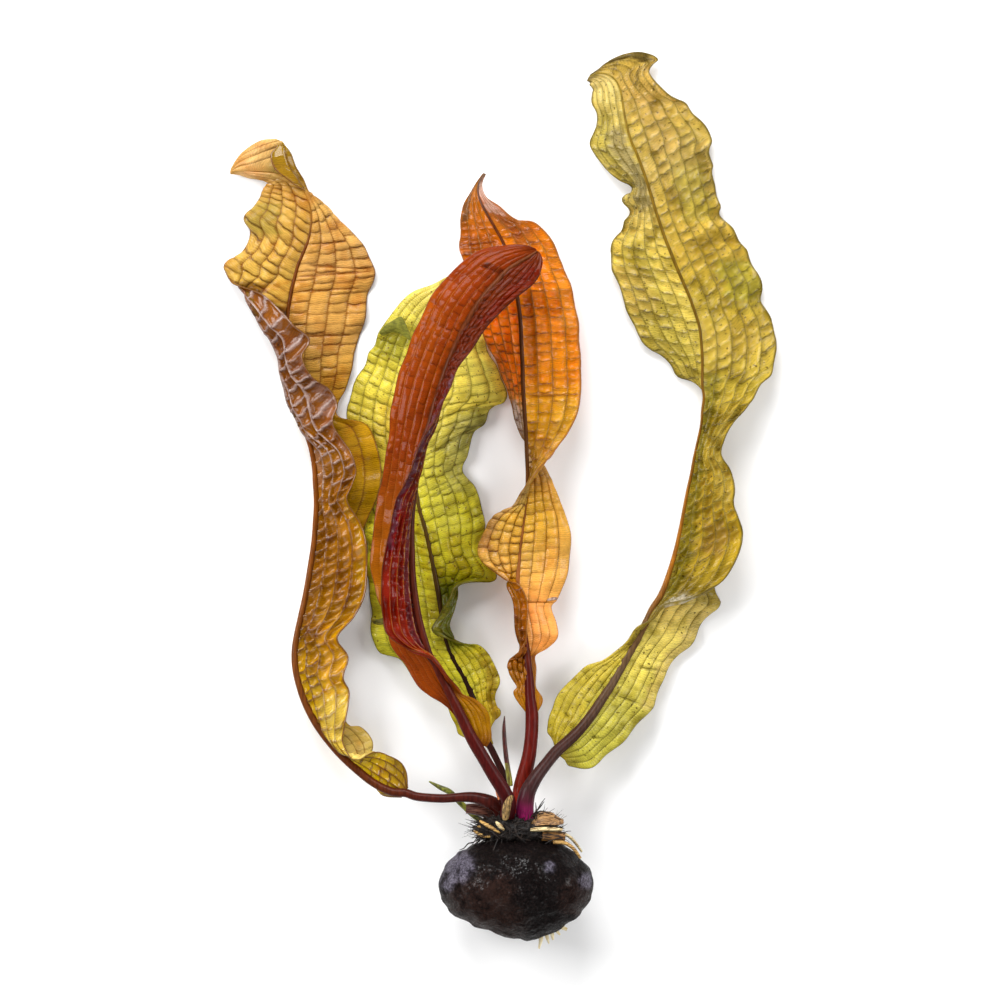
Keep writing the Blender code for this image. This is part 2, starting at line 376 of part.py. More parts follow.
# Root stubs that are fused to the tuber's lower side
TUBER_ROOT_ROUTES = (
    ((541, 930, 13.0, 0.7), (541, 939, 13.0, 0.55), (539, 949, 12.6, 0.2)),
    ((545, 928, 13.6, 0.6), (547, 937, 13.6, 0.45), (549, 944, 13.4, 0.15)),
    ((550, 925, 14.2, 0.6), (552, 934, 14.2, 0.5), (553, 940, 14.0, 0.25)),
    ((553, 923, 14.8, 0.6), (557, 931, 14.8, 0.45), (560, 935, 14.8, 0.2)),
    ((556, 922, 15.6, 0.7), (562, 927, 15.6, 0.55), (567, 929.5, 15.6, 0.4)),
)

BASE_SCALE_ROWS = (
    ((501, 819, 22.9), (506, 820, 23.8), (511, 819, 23.0)),
    ((501, 811, 23.2), (507, 811, 24.2), (512, 811, 23.4)),
    ((502, 803, 23.4), (508, 802, 24.3), (512, 803, 23.8)),
    ((504, 797, 23.6), (509, 796, 24.3), (513, 796, 23.9)),
    ((509, 794, 23.9), (511.5, 792.5, 24.1), (514, 792, 24.0)),
)
BASE_SCALE_THICKNESS = 0.0004

HUSK_ROUTE = (
    (534, 822, 15.0, 1.2), (541, 820, 15.2, 2.0), (549, 819.5, 15.4, 2.0), (556, 821, 15.6, 1.3),
    (563.5, 821.5, 15.8, 0.5),
)


def place(column: float, row: float, height: float) -> Vector:
    """Turn a photo column and row and a height in mm into a place in the part's frame."""
    x = (column - ORIGIN_COLUMN) * PHOTO_PIXEL
    y = (ORIGIN_ROW - row) * PHOTO_PIXEL
    return Vector((x, y, height * MM))


def smooth_value(values: list, position: float):
    """Read a smooth curve through the values, at a position counted in values."""
    last = len(values) - 1
    index = min(max(int(position), 0), last - 1)
    share = position - index
    before = values[max(index - 1, 0)]
    start = values[index]
    end = values[index + 1]
    after = values[min(index + 2, last)]
    linear = (end - before) * 0.5
    square = before - start * 2.5 + end * 2.0 - after * 0.5
    cube = (after - before) * 0.5 + (start - end) * 1.5
    return start + linear * share + square * share ** 2 + cube * share ** 3


def steps_along(count: int, last: float) -> list:
    """Return evenly spaced positions from 0 to last."""
    return [last * step / (count - 1) for step in range(count)]


def make_material(name: str, colour: tuple, roughness: float) -> bpy.types.Material:
    """Make a plain material with the piece's colour and roughness."""
    material = bpy.data.materials.new(name)
    material.use_nodes = True
    shader = material.node_tree.nodes["Principled BSDF"]
    shader.inputs["Base Color"].default_value = (*colour, 1.0)
    shader.inputs["Roughness"].default_value = roughness
    return material


def new_collection(name: str) -> bpy.types.Collection:
    """Make a collection in the scene."""
    collection = bpy.data.collections.new(name)
    bpy.context.scene.collection.children.link(collection)
    return collection


def add_mesh_object(name: str, mesh: bpy.types.Mesh, collection: bpy.types.Collection):
    """Put a mesh in the scene as a named object."""
    shape = bpy.data.objects.new(name, mesh)
    collection.objects.link(shape)
    return shape


def mark_as_cutter(shape) -> None:
    """Show a shape as a wire helper that isn't a piece of the plant."""
    shape.hide_render = True
    shape.display_type = "WIRE"


def add_boolean(shape, other, operation: str) -> None:
    """Join another shape to this one, or cut it away."""
    modifier = shape.modifiers.new(f"{operation.lower()} {other.name}", "BOOLEAN")
    modifier.operation = operation
    modifier.solver = "EXACT"
    modifier.use_self = operation == "UNION"
    modifier.object = other


def make_tube(name: str, places: list, radii: list, collection: bpy.types.Collection):
    """Make a closed round tube with a radius at each place, as a mesh object."""
    curve = bpy.data.curves.new(f"{name} route", "CURVE")
    curve.dimensions = "3D"
    curve.bevel_depth = 1.0
    curve.bevel_resolution = 2
    curve.use_fill_caps = True
    spline = curve.splines.new("POLY")
    spline.points.add(len(places) - 1)
    for point, spot, radius in zip(spline.points, places, radii):
        point.co = (*spot, 1.0)
        point.radius = radius
    guide = bpy.data.objects.new(f"{name} guide", curve)
    bpy.context.scene.collection.objects.link(guide)
    evaluated = guide.evaluated_get(bpy.context.evaluated_depsgraph_get())
    mesh = bpy.data.meshes.new_from_object(evaluated)
    bpy.data.objects.remove(guide)
    weld_tube(mesh)
    return add_mesh_object(name, mesh, collection)


def weld_tube(mesh: bpy.types.Mesh) -> None:
    """Join a tube's loose caps to its wall and turn its faces outwards."""
    shell = bmesh.new()
    shell.from_mesh(mesh)
    bmesh.ops.remove_doubles(shell, verts=shell.verts, dist=1e-6)
    bmesh.ops.recalc_face_normals(shell, faces=shell.faces)
    shell.to_mesh(mesh)
    shell.free()


def route_places(route: tuple, count: int, extra: float) -> tuple:
    """Return evenly spaced places and radii on a smooth curve through a route."""
    places = [place(*stop[:3]) for stop in route]
    radii = [stop[3] * MM + extra for stop in route]
    positions = steps_along(count, len(route) - 1)
    smooth_places = [smooth_value(places, position) for position in positions]
    smooth_radii = [smooth_value(radii, position) for position in positions]
    return smooth_places, smooth_radii


def half_place(midrib: Vector, edge: Vector, along: Vector, side: float, bow: float, share: float) -> Vector:
    """Return a place on one half of a blade, a share of the way from the midrib to the edge."""
    across = edge - midrib
    outwards = along.cross(across) * -side
    if outwards.length > 0.0:
        outwards.normalize()
    return midrib + across * share + outwards * (4.0 * share * (1.0 - share) * bow * MM)


def leaf_places(leaf: Leaf, part: int) -> list:
    """Return one line of a leaf's places, settled onto what the leaf lies on."""
    return [place(*settled(leaf, number, part)) for number in range(len(leaf.stations))]


def settled(leaf: Leaf, number: int, part: int) -> tuple:
    """Return one place of a station, lowered more and more towards the leaf's middle."""
    column, row, height = leaf.stations[number][part]
    share = min(number / SETTLED_STATION, 1.0)
    return column, row, height - leaf.settle * share


def turn_length(halves: list, index: int) -> float:
    """Return how much a half's turning between one sample and the next counts as length."""
    angle = halves[index].angle(halves[index + 1], 0.0)
    return TURN_WEIGHT * angle * min(halves[index].length, FULL_THICKNESS_HALF_WIDTH)


def row_positions(leaf: Leaf, count: int) -> list:
    """Return the positions of a blade's rows, closer together where the blade turns over."""
    midribs = leaf_places(leaf, 0)
    left_edges = leaf_places(leaf, 1)
    right_edges = leaf_places(leaf, 3)
    last = len(leaf.stations) - 1
    samples = steps_along(SAMPLES_PER_STATION * last + 1, last)
    spine = [smooth_value(midribs, sample) for sample in samples]
    left_halves = [smooth_value(left_edges, sample) - spot for sample, spot in zip(samples, spine)]
    right_halves = [smooth_value(right_edges, sample) - spot for sample, spot in zip(samples, spine)]
    lengths = [0.0]
    for index in range(len(samples) - 1):
        step = (spine[index + 1] - spine[index]).length
        step += turn_length(left_halves, index) + turn_length(right_halves, index)
        lengths.append(lengths[-1] + step)
    positions = []
    index = 0
    for goal in steps_along(count, lengths[-1]):
        while index < len(samples) - 2 and lengths[index + 1] < goal:
            index += 1
        share = (goal - lengths[index]) / (lengths[index + 1] - lengths[index])
        positions.append(min(samples[index] + share * (samples[index + 1] - samples[index]), last))
    return positions


def blade_rows(leaf: Leaf, count: int) -> list:
    """Return the rows of places that span a leaf's blade, from left edge to right edge."""
    midribs = leaf_places(leaf, 0)
    left_edges = leaf_places(leaf, 1)
    left_bows = [station[2] for station in leaf.stations]
    right_edges = leaf_places(leaf, 3)
    right_bows = [station[4] for station in leaf.stations]
    last = len(leaf.stations) - 1
    rows = []
    for position in row_positions(leaf, count):
        midrib = smooth_value(midribs, position)
        ahead = smooth_value(midribs, min(position + 0.5, last))
        behind = smooth_value(midribs, max(position - 0.5, 0.0))
        along = (ahead - behind).normalized()
        left = smooth_value(left_edges, position)
        right = smooth_value(right_edges, position)
        left_bow = smooth_value(left_bows, position)
        right_bow = smooth_value(right_bows, position)
        row = []
        for column in range(COLUMNS_PER_HALF, 0, -1):
            row.append(half_place(midrib, left, along, -1.0, left_bow, column / COLUMNS_PER_HALF))
        row.append(midrib)
        for column in range(1, COLUMNS_PER_HALF + 1):
            row.append(half_place(midrib, right, along, 1.0, right_bow, column / COLUMNS_PER_HALF))
        rows.append(row)
    return rows


def thickness_share(row: list, column: int) -> float:
    """Return how much of its full thickness a blade has at a column of a row."""
    midrib = row[COLUMNS_PER_HALF]
    edge = row[0] if column < COLUMNS_PER_HALF else row[-1]
    share = (edge - midrib).length / FULL_THICKNESS_HALF_WIDTH
    return min(max(share, LEAST_THICKNESS_SHARE), 1.0)


def make_blade(leaf: Leaf, collection: bpy.types.Collection):
    """Make a leaf's blade: a quilted sheet with thickness."""
    rows = blade_rows(leaf, leaf.blade_rows)
    width = 2 * COLUMNS_PER_HALF
    shares = [thickness_share(row, column) for row in rows for column in range(width + 1)]
    sheet = bmesh.new()
    bmesh.ops.create_grid(sheet, x_segments=width, y_segments=leaf.blade_rows - 1, size=1.0)
    sheet.verts.ensure_lookup_table()
    for number, vertex in enumerate(sheet.verts):
        row, column = divmod(number, width + 1)
        vertex.co = rows[row][column]
    sheet.normal_update()
    shifts = []
    for number, vertex in enumerate(sheet.verts):
        row, column = divmod(number, width + 1)
        inner = 0 < row < leaf.blade_rows - 1 and column not in (0, COLUMNS_PER_HALF, width)
        quilt = QUILT_HEIGHT * shares[number] * (1 if (row + column) % 2 else -1)
        shifts.append(vertex.normal * quilt if inner else Vector())
    for vertex, shift in zip(sheet.verts, shifts):
        vertex.co += shift
        vertex.co.z = max(vertex.co.z, LOWEST_LAMINA_MIDDLE)
    bmesh.ops.triangulate(sheet, faces=sheet.faces, quad_method="SHORT_EDGE", ngon_method="BEAUTY")
    mesh = bpy.data.meshes.new(leaf.name)
    sheet.to_mesh(mesh)
    sheet.free()
    blade = add_mesh_object(leaf.name, mesh, collection)
    group = blade.vertex_groups.new(name="thickness share")
    for number, share in enumerate(shares):
        group.add([number], share, "REPLACE")
    solidify = blade.modifiers.new("thickness", "SOLIDIFY")
    solidify.thickness = LAMINA_THICKNESS
    solidify.offset = 0.0
    solidify.use_even_offset = False
    solidify.vertex_group = group.name
    return blade


def stalk_stops(leaf: Leaf) -> tuple:
    """Return the route of a leaf's stalk, continued along the blade's midrib."""
    reach = int(leaf.midrib_reach * (len(leaf.stations) - 1))
    start_radius = leaf.stalk_route[-1][3]
    stops = list(leaf.stalk_route)
    for number in range(0, reach + 1, STATIONS_PER_MIDRIB_STOP):
        share = number / reach
        radius = start_radius + (leaf.midrib_end_radius - start_radius) * share
        stops.append((*settled(leaf, number, 0), radius))
    return tuple(stops)


def make_leaf(leaf: Leaf, plant: bpy.types.Collection, cutters: bpy.types.Collection):
    """Make one leaf: blade, midrib and stalk in one solid."""
    blade = make_blade(leaf, plant)
    stops = stalk_stops(leaf)
    places, radii = route_places(stops, len(stops), 0.0)
    stalk = make_tube(f"{leaf.name} stalk", places, radii, cutters)
    mark_as_cutter(stalk)
    add_boolean(blade, stalk, "UNION")
    blade.data.materials.append(make_material(leaf.name, leaf.colour, 0.45))
    return blade


def make_strand(strand: Strand, plant: bpy.types.Collection):
    """Make one thin rounded piece."""
    places, radii = route_places(strand.route, 2 * len(strand.route) - 1, 0.0)
    piece = make_tube(strand.name, places, radii, plant)
    piece.data.materials.append(make_material(strand.name, strand.colour, strand.roughness))
    return piece


def tuber_radius(angle: float) -> float:
    """Return the tuber's outline radius at an angle, from its smooth outline."""
    spots = []
    for column, row in TUBER_OUTLINE:
        across = (column - TUBER_CENTRE[0]) * PHOTO_PIXEL
        along = (TUBER_CENTRE[1] - row) * PHOTO_PIXEL
        spots.append((math.atan2(along, across) % math.tau, math.hypot(across, along)))
    spots.sort()
    spots = [(spots[-1][0] - math.tau, spots[-1][1]), *spots, (spots[0][0] + math.tau, spots[0][1])]
    angle %= math.tau
    for (start, near), (end, far) in zip(spots, spots[1:]):
        if start <= angle <= end:
            share = (angle - start) / (end - start)
            ease = share * share * (3.0 - 2.0 * share)
            return near + (far - near) * ease
    return spots[0][1]


def make_tuber_body(name: str, subdivisions: int, extra: float, collection: bpy.types.Collection):
    """Make the lumpy body of the tuber, grown by an extra distance."""
    centre = place(*TUBER_CENTRE, 0.0)
    body = bmesh.new()
    bmesh.ops.create_icosphere(body, subdivisions=subdivisions, radius=1.0)
    for vertex in body.verts:
        direction = vertex.co.normalized()
        radius = tuber_radius(math.atan2(direction.y, direction.x)) + extra
        thickness = TUBER_HALF_THICKNESS + extra
        lump = noise.noise(direction * (TUBER_WIDTH / 2 / TUBER_LUMP_SIZE)) * TUBER_LUMP_HEIGHT
        flat = math.hypot(direction.x, direction.y)
        reach = radius + lump * (1.0 - flat)
        vertex.co = (
            centre.x + direction.x * reach,
            centre.y + direction.y * reach,
            TUBER_MIDDLE_HEIGHT + direction.z * (thickness + lump),
        )
    mesh = bpy.data.meshes.new(name)
    body.to_mesh(mesh)
    body.free()
    return add_mesh_object(name, mesh, collection)


def make_floor_cutter(cutters: bpy.types.Collection):
    """Make the block that cuts everything below the surface away."""
    size = 2.0 * TUBER_WIDTH
    block = bmesh.new()
    bmesh.ops.create_cube(block, size=size)
    bmesh.ops.translate(block, verts=block.verts, vec=(0.0, 0.0, -size / 2))
    mesh = bpy.data.meshes.new("floor cutter")
    block.to_mesh(mesh)
    block.free()
    cutter = add_mesh_object("floor cutter", mesh, cutters)
    mark_as_cutter(cutter)
    return cutter


def make_tuber(plant: bpy.types.Collection, cutters: bpy.types.Collection):
    """Make the tuber with its flat resting face and the root stubs on its lower side."""
    tuber = make_tuber_body("tuber", 4, 0.0, plant)
    add_boolean(tuber, make_floor_cutter(cutters), "DIFFERENCE")
    for number, route in enumerate(TUBER_ROOT_ROUTES, start=1):
        places, radii = route_places(route, len(route), 0.0)
        root = make_tube(f"tuber root {number}", places, radii, cutters)
        mark_as_cutter(root)
        add_boolean(tuber, root, "UNION")
    tuber.data.materials.append(make_material("tuber", (0.018, 0.013, 0.011), 0.4))
    return tuber


def make_crown(plant: bpy.types.Collection, cutters: bpy.types.Collection):
    """Make the fibrous crown, with a socket for each piece that grows out of it."""
    centre = place(*CROWN_CENTRE, CROWN_MIDDLE_HEIGHT / MM)
    half_sizes = Vector((CROWN_HALF_WIDTH, CROWN_HALF_LENGTH, CROWN_HALF_THICKNESS))
    body = bmesh.new()
    bmesh.ops.create_icosphere(body, subdivisions=3, radius=1.0)
    for vertex in body.verts:
        direction = vertex.co.normalized()
        spot = direction * half_sizes
        lump = noise.noise(spot / CROWN_LUMP_SIZE) * CROWN_LUMP_HEIGHT
        vertex.co = centre + spot + direction * lump
    mesh = bpy.data.meshes.new("crown")
    body.to_mesh(mesh)
    body.free()
    crown = add_mesh_object("crown", mesh, plant)
    cut_sockets(crown, cutters)
    crown.data.materials.append(make_material("crown", (0.012, 0.010, 0.009), 0.8))
    return crown


def cut_sockets(crown, cutters: bpy.types.Collection) -> None:
    """Cut the tuber and every stalk and strand out of the crown, with a gap."""
    tuber_space = make_tuber_body("tuber space", 4, TOUCHING_GAP, cutters)
    mark_as_cutter(tuber_space)
    add_boolean(crown, tuber_space, "DIFFERENCE")
    routes = [(leaf.name, leaf.stalk_route) for leaf in LEAVES]
    routes += [(strand.name, strand.route) for strand in STRANDS]
    routes.append(("husk", HUSK_ROUTE))
    for name, route in routes:
        places, radii = route_places(route, 2 * len(route), TOUCHING_GAP)
        places[0] += (places[0] - places[1]).normalized() * TOUCHING_GAP
        places[-1] += (places[-1] - places[-2]).normalized() * TOUCHING_GAP
        socket = make_tube(f"{name} socket", places, radii, cutters)
        mark_as_cutter(socket)
        add_boolean(crown, socket, "DIFFERENCE")


def make_base_scale(plant: bpy.types.Collection):
    """Make the dry scale in front of the stalks."""
    width = len(BASE_SCALE_ROWS[0])
    length = len(BASE_SCALE_ROWS)
    sheet = bmesh.new()
    bmesh.ops.create_grid(sheet, x_segments=width - 1, y_segments=length - 1, size=1.0)
    sheet.verts.ensure_lookup_table()
    for number, vertex in enumerate(sheet.verts):
        row, column = divmod(number, width)
        vertex.co = place(*BASE_SCALE_ROWS[row][column])
    mesh = bpy.data.meshes.new("base_scale")
    sheet.to_mesh(mesh)
    sheet.free()
    scale = add_mesh_object("base_scale", mesh, plant)
    solidify = scale.modifiers.new("thickness", "SOLIDIFY")
    solidify.thickness = BASE_SCALE_THICKNESS
    solidify.offset = 0.0
    scale.data.materials.append(make_material("base_scale", (0.45, 0.25, 0.08), 0.8))
    return scale


def make_husk(plant: bpy.types.Collection):
    """Make the papery husk at the right of the crown."""
    places, radii = route_places(HUSK_ROUTE, 2 * len(HUSK_ROUTE), 0.0)
    husk = make_tube("husk", places, radii, plant)
    husk.data.materials.append(make_material("husk", (0.55, 0.34, 0.16), 0.8))
    return husk


def main() -> None:
    """Build the plant."""
    for shape in list(bpy.data.objects):
        bpy.data.objects.remove(shape)
    plant = new_collection("aponogeton")
    cutters = new_collection("cutters")
    make_tuber(plant, cutters)
    make_crown(plant, cutters)
    for leaf in LEAVES:
        make_leaf(leaf, plant, cutters)
    for strand in STRANDS:
        make_strand(strand, plant)
    make_base_scale(plant)
    make_husk(plant)
    for shape in plant.objects:
        shape.data.shade_smooth()


main()
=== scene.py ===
"""Looks of an aponogeton, a water plant with a tuber, that lies on its back on a pale floor.

Metres, +Z up. The origin is on the floor under the middle of the tuber, the leaves point along +Y
and the camera looks straight down. Places are written as photo columns and rows with a height in
mm, because that is how the plant's routes and edges were chosen; place() turns them to metres.
"""
import logging
import math
import random
from dataclasses import dataclass, replace
from enum import Enum

import bmesh
import bpy
import numpy as np
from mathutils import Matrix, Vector, noise

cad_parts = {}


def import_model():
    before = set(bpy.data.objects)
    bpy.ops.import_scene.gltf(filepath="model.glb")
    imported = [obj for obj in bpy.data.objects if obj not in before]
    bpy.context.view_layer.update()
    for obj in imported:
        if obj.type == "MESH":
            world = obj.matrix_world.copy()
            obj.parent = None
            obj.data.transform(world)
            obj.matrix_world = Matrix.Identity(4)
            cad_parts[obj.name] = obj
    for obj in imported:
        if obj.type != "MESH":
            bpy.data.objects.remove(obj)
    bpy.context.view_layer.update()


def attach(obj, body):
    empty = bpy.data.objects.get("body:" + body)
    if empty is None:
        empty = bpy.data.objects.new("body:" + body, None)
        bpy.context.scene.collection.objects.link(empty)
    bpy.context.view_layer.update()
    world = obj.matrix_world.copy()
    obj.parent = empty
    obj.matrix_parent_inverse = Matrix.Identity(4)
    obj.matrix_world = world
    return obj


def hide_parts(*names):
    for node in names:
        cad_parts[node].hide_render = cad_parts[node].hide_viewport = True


LOG = logging.getLogger("aponogeton")

MM = 0.001
TUBER_WIDTH = 0.0385
TUBER_WIDTH_IN_PHOTO = 154.0
PHOTO_PIXEL = TUBER_WIDTH / TUBER_WIDTH_IN_PHOTO
ORIGIN_COLUMN = 516.0
ORIGIN_ROW = 889.0
PHOTO_MIDDLE = 500.0
PHOTO_WIDTH = 1000.0

# The tuber's outline, seen from above, as photo columns and rows
TUBER_OUTLINE = (
    (516, 837), (490, 840), (468, 848), (457, 853), (445, 866), (438.5, 884), (441, 898), (448, 909),
    (471, 924), (491, 931), (519, 938.6), (528, 941), (542, 937), (564, 926), (581, 913), (591, 898),
    (593.5, 882), (591, 871), (579, 857), (564, 845), (545, 839),
)

# Each station of a leaf, from its base to its tip, holds three places and two bows.
# A place is a photo column, a photo row and a height in mm: midrib, left edge, right edge.
# A bow is how far, in mm, the half's middle stands off the straight line to its edge.
LEFT_LEAF_STATIONS = (
    ((405, 793, 13.0), (408, 788, 13.6), 0.0, (401, 798, 12.4), 0.0),
    ((392, 792, 12.6), (405, 770, 14.6), 0.3, (386, 797, 11.2), 0.0),
    ((373, 783, 11.6), (393, 756, 15.0), 0.5, (377, 791, 8.8), 0.0),
    ((354, 768, 10.6), (376, 755, 14.6), 0.3, (367, 770, 6.2), -0.3),
    ((341, 756, 9.9), (360, 758, 14.2), 0.0, (372, 748, 5.8), -0.5),
    ((331, 745, 9.5), (349, 755, 13.8), -0.5, (369, 737, 5.4), -0.8),
    ((321.5, 733, 9.2), (342, 742, 13.4), -1.0, (359, 727, 4.8), -1.0),
    ((313, 720, 8.8), (344, 728, 13.2), -1.2, (347, 724, 4.4), -1.0),
    ((305, 704, 8.4), (348, 706, 13.0), -1.4, (341, 710, 3.8), -1.0),
    ((299, 687, 8.0), (349, 691, 12.6), -1.5, (338, 694, 3.2), -1.0),
    ((295, 670, 7.6), (343, 678, 12.4), -1.5, (336, 678, 2.8), -1.0),
    ((294, 653, 7.4), (348, 657, 12.2), -1.5, (338, 656, 2.6), -1.0),
    ((296, 637, 7.4), (337, 638, 12.0), -1.5, (330, 637, 2.4), -1.0),
    ((300.5, 616, 7.4), (354, 617, 12.0), -1.5, (345, 614, 2.4), -1.0),
    ((305.5, 593, 7.4), (364, 596, 12.0), -1.5, (354, 592, 2.4), -1.0),
    ((310, 566, 7.6), (367, 568, 12.2), -1.5, (358, 562, 2.6), -1.0),
    ((313.5, 542, 7.8), (366, 543, 12.4), -1.5, (360, 537, 3.4), -1.0),
    ((315, 522, 8.0), (360, 523, 12.6), -1.5, (367, 519, 4.6), -1.0),
    ((316, 503, 8.2), (347, 501, 13.0), -1.5, (376, 500, 5.6), -0.8),
    ((315, 485, 8.2), (352, 485, 13.2), -1.5, (381, 480, 6.0), -0.8),
    ((314, 468, 8.0), (356, 470, 13.4), -1.6, (380, 462, 6.0), -0.8),
    ((311, 450, 7.8), (350, 451, 13.2), -1.8, (375, 441, 6.0), -0.8),
    ((306, 434, 7.4), (336, 431, 12.8), -2.2, (364, 423, 5.8), -0.8),
    ((300, 419, 7.0), (333, 419, 12.4), -3.0, (338, 417, 5.0), -0.5),
    ((296, 405, 6.6), (337, 405, 12.4), 0.0, (337, 404, 3.8), 0.0),
    ((292, 390, 6.2), (329, 389, 12.4), 0.0, (345, 389, 3.0), 0.3),
    ((289, 374, 5.8), (312, 376, 12.4), 0.0, (350, 372, 2.6), 0.5),
    ((287, 357, 5.5), (301.5, 356, 12.4), 0.0, (353, 354, 2.4), 0.6),
    ((286, 340, 5.2), (309, 339, 12.2), 0.0, (359, 337, 2.2), 0.7),
    ((286, 325, 5.0), (294, 325, 11.6), 0.0, (363, 323, 2.2), 0.8),
    ((287, 311, 5.0), (281, 311, 10.5), 0.0, (365, 309, 2.2), 0.8),
    ((289, 299, 5.2), (262, 294, 9.0), 0.0, (367, 295, 2.2), 0.8),
    ((291, 288, 5.4), (237, 284.5, 6.6), 0.0, (371, 284, 2.2), 0.8),
    ((294, 276, 5.6), (225, 272, 3.6), 0.0, (374, 272, 2.2), 0.8),
    ((297, 265, 5.8), (224, 263, 2.8), 0.6, (372, 262, 2.2), 0.8),
    ((302, 253, 6.0), (240, 250, 2.4), 0.8, (365, 248, 2.4), 0.8),
    ((307, 241, 6.2), (249, 231, 2.4), 0.8, (357, 239, 2.8), 0.8),
    ((310, 228, 6.4), (243.5, 217, 2.4), 0.8, (343, 222, 3.4), 0.8),
    ((311, 215, 6.6), (251, 207, 2.4), 0.8, (330, 208, 4.4), 0.8),
    ((309, 202, 6.8), (256, 198, 2.6), 0.7, (316, 198, 5.6), 0.6),
    ((303, 190, 6.8), (261, 191, 2.8), 0.6, (299, 187, 8.2), 0.0),
    ((295, 181, 6.6), (268, 184, 3.0), 0.5, (286, 178, 8.8), 0.0),
    ((284, 175, 6.2), (268, 182, 3.2), 0.3, (274, 168, 9.0), 0.0),
    ((272, 172, 5.8), (263, 180, 3.4), 0.3, (270, 153, 8.8), 0.0),
    ((260, 171, 5.2), (252, 177, 3.4), 0.2, (277, 139.5, 6.4), 0.0),
    ((248, 170, 4.6), (244, 174.5, 3.2), 0.1, (259, 138.5, 5.2), 0.5),
    ((237, 170, 4.0), (236, 173, 3.0), 0.0, (242, 150, 4.2), 0.2),
    ((229, 170.5, 3.4), (229, 172.5, 3.0), 0.0, (230, 167.5, 3.4), 0.0),
)

RED_LEAF_STATIONS = (
    ((475, 743, 22.8), (470, 745, 22.6), 0.0, (486, 746, 20.6), 0.0),
    ((471, 736, 23.0), (466, 738, 22.8), 0.0, (491, 737, 20.0), 0.2),
    ((466, 726, 23.3), (461, 728, 23.0), 0.0, (491, 726, 20.0), 0.3),
    ((461, 715, 23.6), (456, 717, 23.2), 0.0, (488, 714, 20.4), 0.4),
    ((456, 705, 24.0), (450, 709, 23.4), 0.0, (478, 703, 21.2), 0.4),
    ((451, 695, 24.4), (441, 701, 23.4), 0.2, (464, 695, 22.6), 0.2),
    ((446, 685, 24.8), (429, 694, 23.2), 0.4, (458, 687, 25.0), 0.0),
    ((441, 675, 25.2), (417, 685, 23.0), 0.5, (451, 678, 27.8), -0.2),
    ((436, 664, 25.6), (405, 664, 22.6), 0.5, (443, 667, 29.4), -0.4),
    ((430, 655, 26.0), (397, 653, 22.2), 0.4, (430, 655, 30.2), -0.6),
    ((427, 646, 26.3), (391, 642, 22.0), 0.0, (406, 647, 29.6), -0.8),
    ((423, 633, 26.6), (388, 628, 21.6), -0.5, (387.5, 633, 30.2), -1.0),
    ((419, 617, 26.8), (385, 613, 21.2), -0.8, (383.5, 616, 30.8), -1.2),
    ((416, 600, 27.0), (379, 601, 21.0), -1.0, (382, 600, 31.4), -1.4),
    ((414, 585, 27.0), (375, 587, 20.8), -1.0, (382, 583, 31.8), -1.5),
    ((412.5, 568, 27.0), (371, 568, 20.6), -1.0, (383, 567, 32.4), -1.5),
    ((412, 550, 27.0), (371.5, 548, 20.6), -1.0, (386, 550, 33.0), -1.5),
    ((411.5, 532, 27.0), (374, 530, 20.8), -1.0, (390, 532, 33.6), -1.5),
    ((412, 515, 27.0), (376, 512, 21.2), -1.0, (393, 516, 34.0), -1.6),
    ((413.5, 500, 26.9), (378, 495, 21.6), -0.8, (397, 500, 34.4), -1.8),
    ((415.5, 485, 26.8), (382, 482, 22.2), -0.6, (405, 485, 34.8), -1.8),
    ((418, 470, 26.7), (385, 465, 22.8), -0.4, (411, 470, 35.0), -1.8),
    ((421, 455, 26.6), (387, 449, 23.4), 0.0, (417, 455, 35.0), -1.7),
    ((424.5, 440, 26.4), (389.5, 434, 23.8), 0.3, (424, 440, 35.0), -1.5),
    ((430, 425, 26.2), (391, 416, 24.0), 0.6, (432, 426, 34.8), -1.3),
    ((434, 409, 26.0), (393, 400, 24.0), 0.8, (441, 410, 34.2), -0.9),
    ((438.5, 394, 25.7), (397, 383, 23.8), 1.0, (448, 395, 33.4), -0.5),
    ((444, 377, 25.3), (403, 363, 23.4), 1.1, (455, 377, 32.2), -0.2),
    ((450, 360, 24.9), (410, 345, 23.0), 1.2, (465, 361, 30.8), 0.0),
    ((458, 342, 24.4), (418, 326, 22.4), 1.2, (477, 343, 29.2), 0.0),
    ((466.5, 324, 23.8), (427, 306, 21.8), 1.2, (490, 325, 27.6), 0.0),
    ((476, 308, 23.2), (436, 291, 21.0), 1.2, (504, 309, 26.2), 0.2),
    ((486, 294, 22.4), (448, 276, 20.4), 1.1, (519, 297, 24.6), 0.3),
    ((496, 283, 21.6), (461, 264, 19.8), 1.0, (531, 287, 23.0), 0.4),
    ((507, 271, 20.8), (476, 254, 19.2), 0.9, (538, 278, 21.6), 0.5),
    ((517, 264, 20.2), (492, 247.5, 18.8), 0.8, (541, 270, 20.6), 0.4),
    ((527, 258, 19.6), (510, 245, 18.6), 0.6, (542, 262, 19.6), 0.2),
    ((533, 254, 19.2), (525, 246, 18.6), 0.3, (541, 257, 19.2), 0.1),
    ((537, 251, 18.9), (535, 249, 18.8), 0.0, (539, 253, 18.9), 0.0),
)

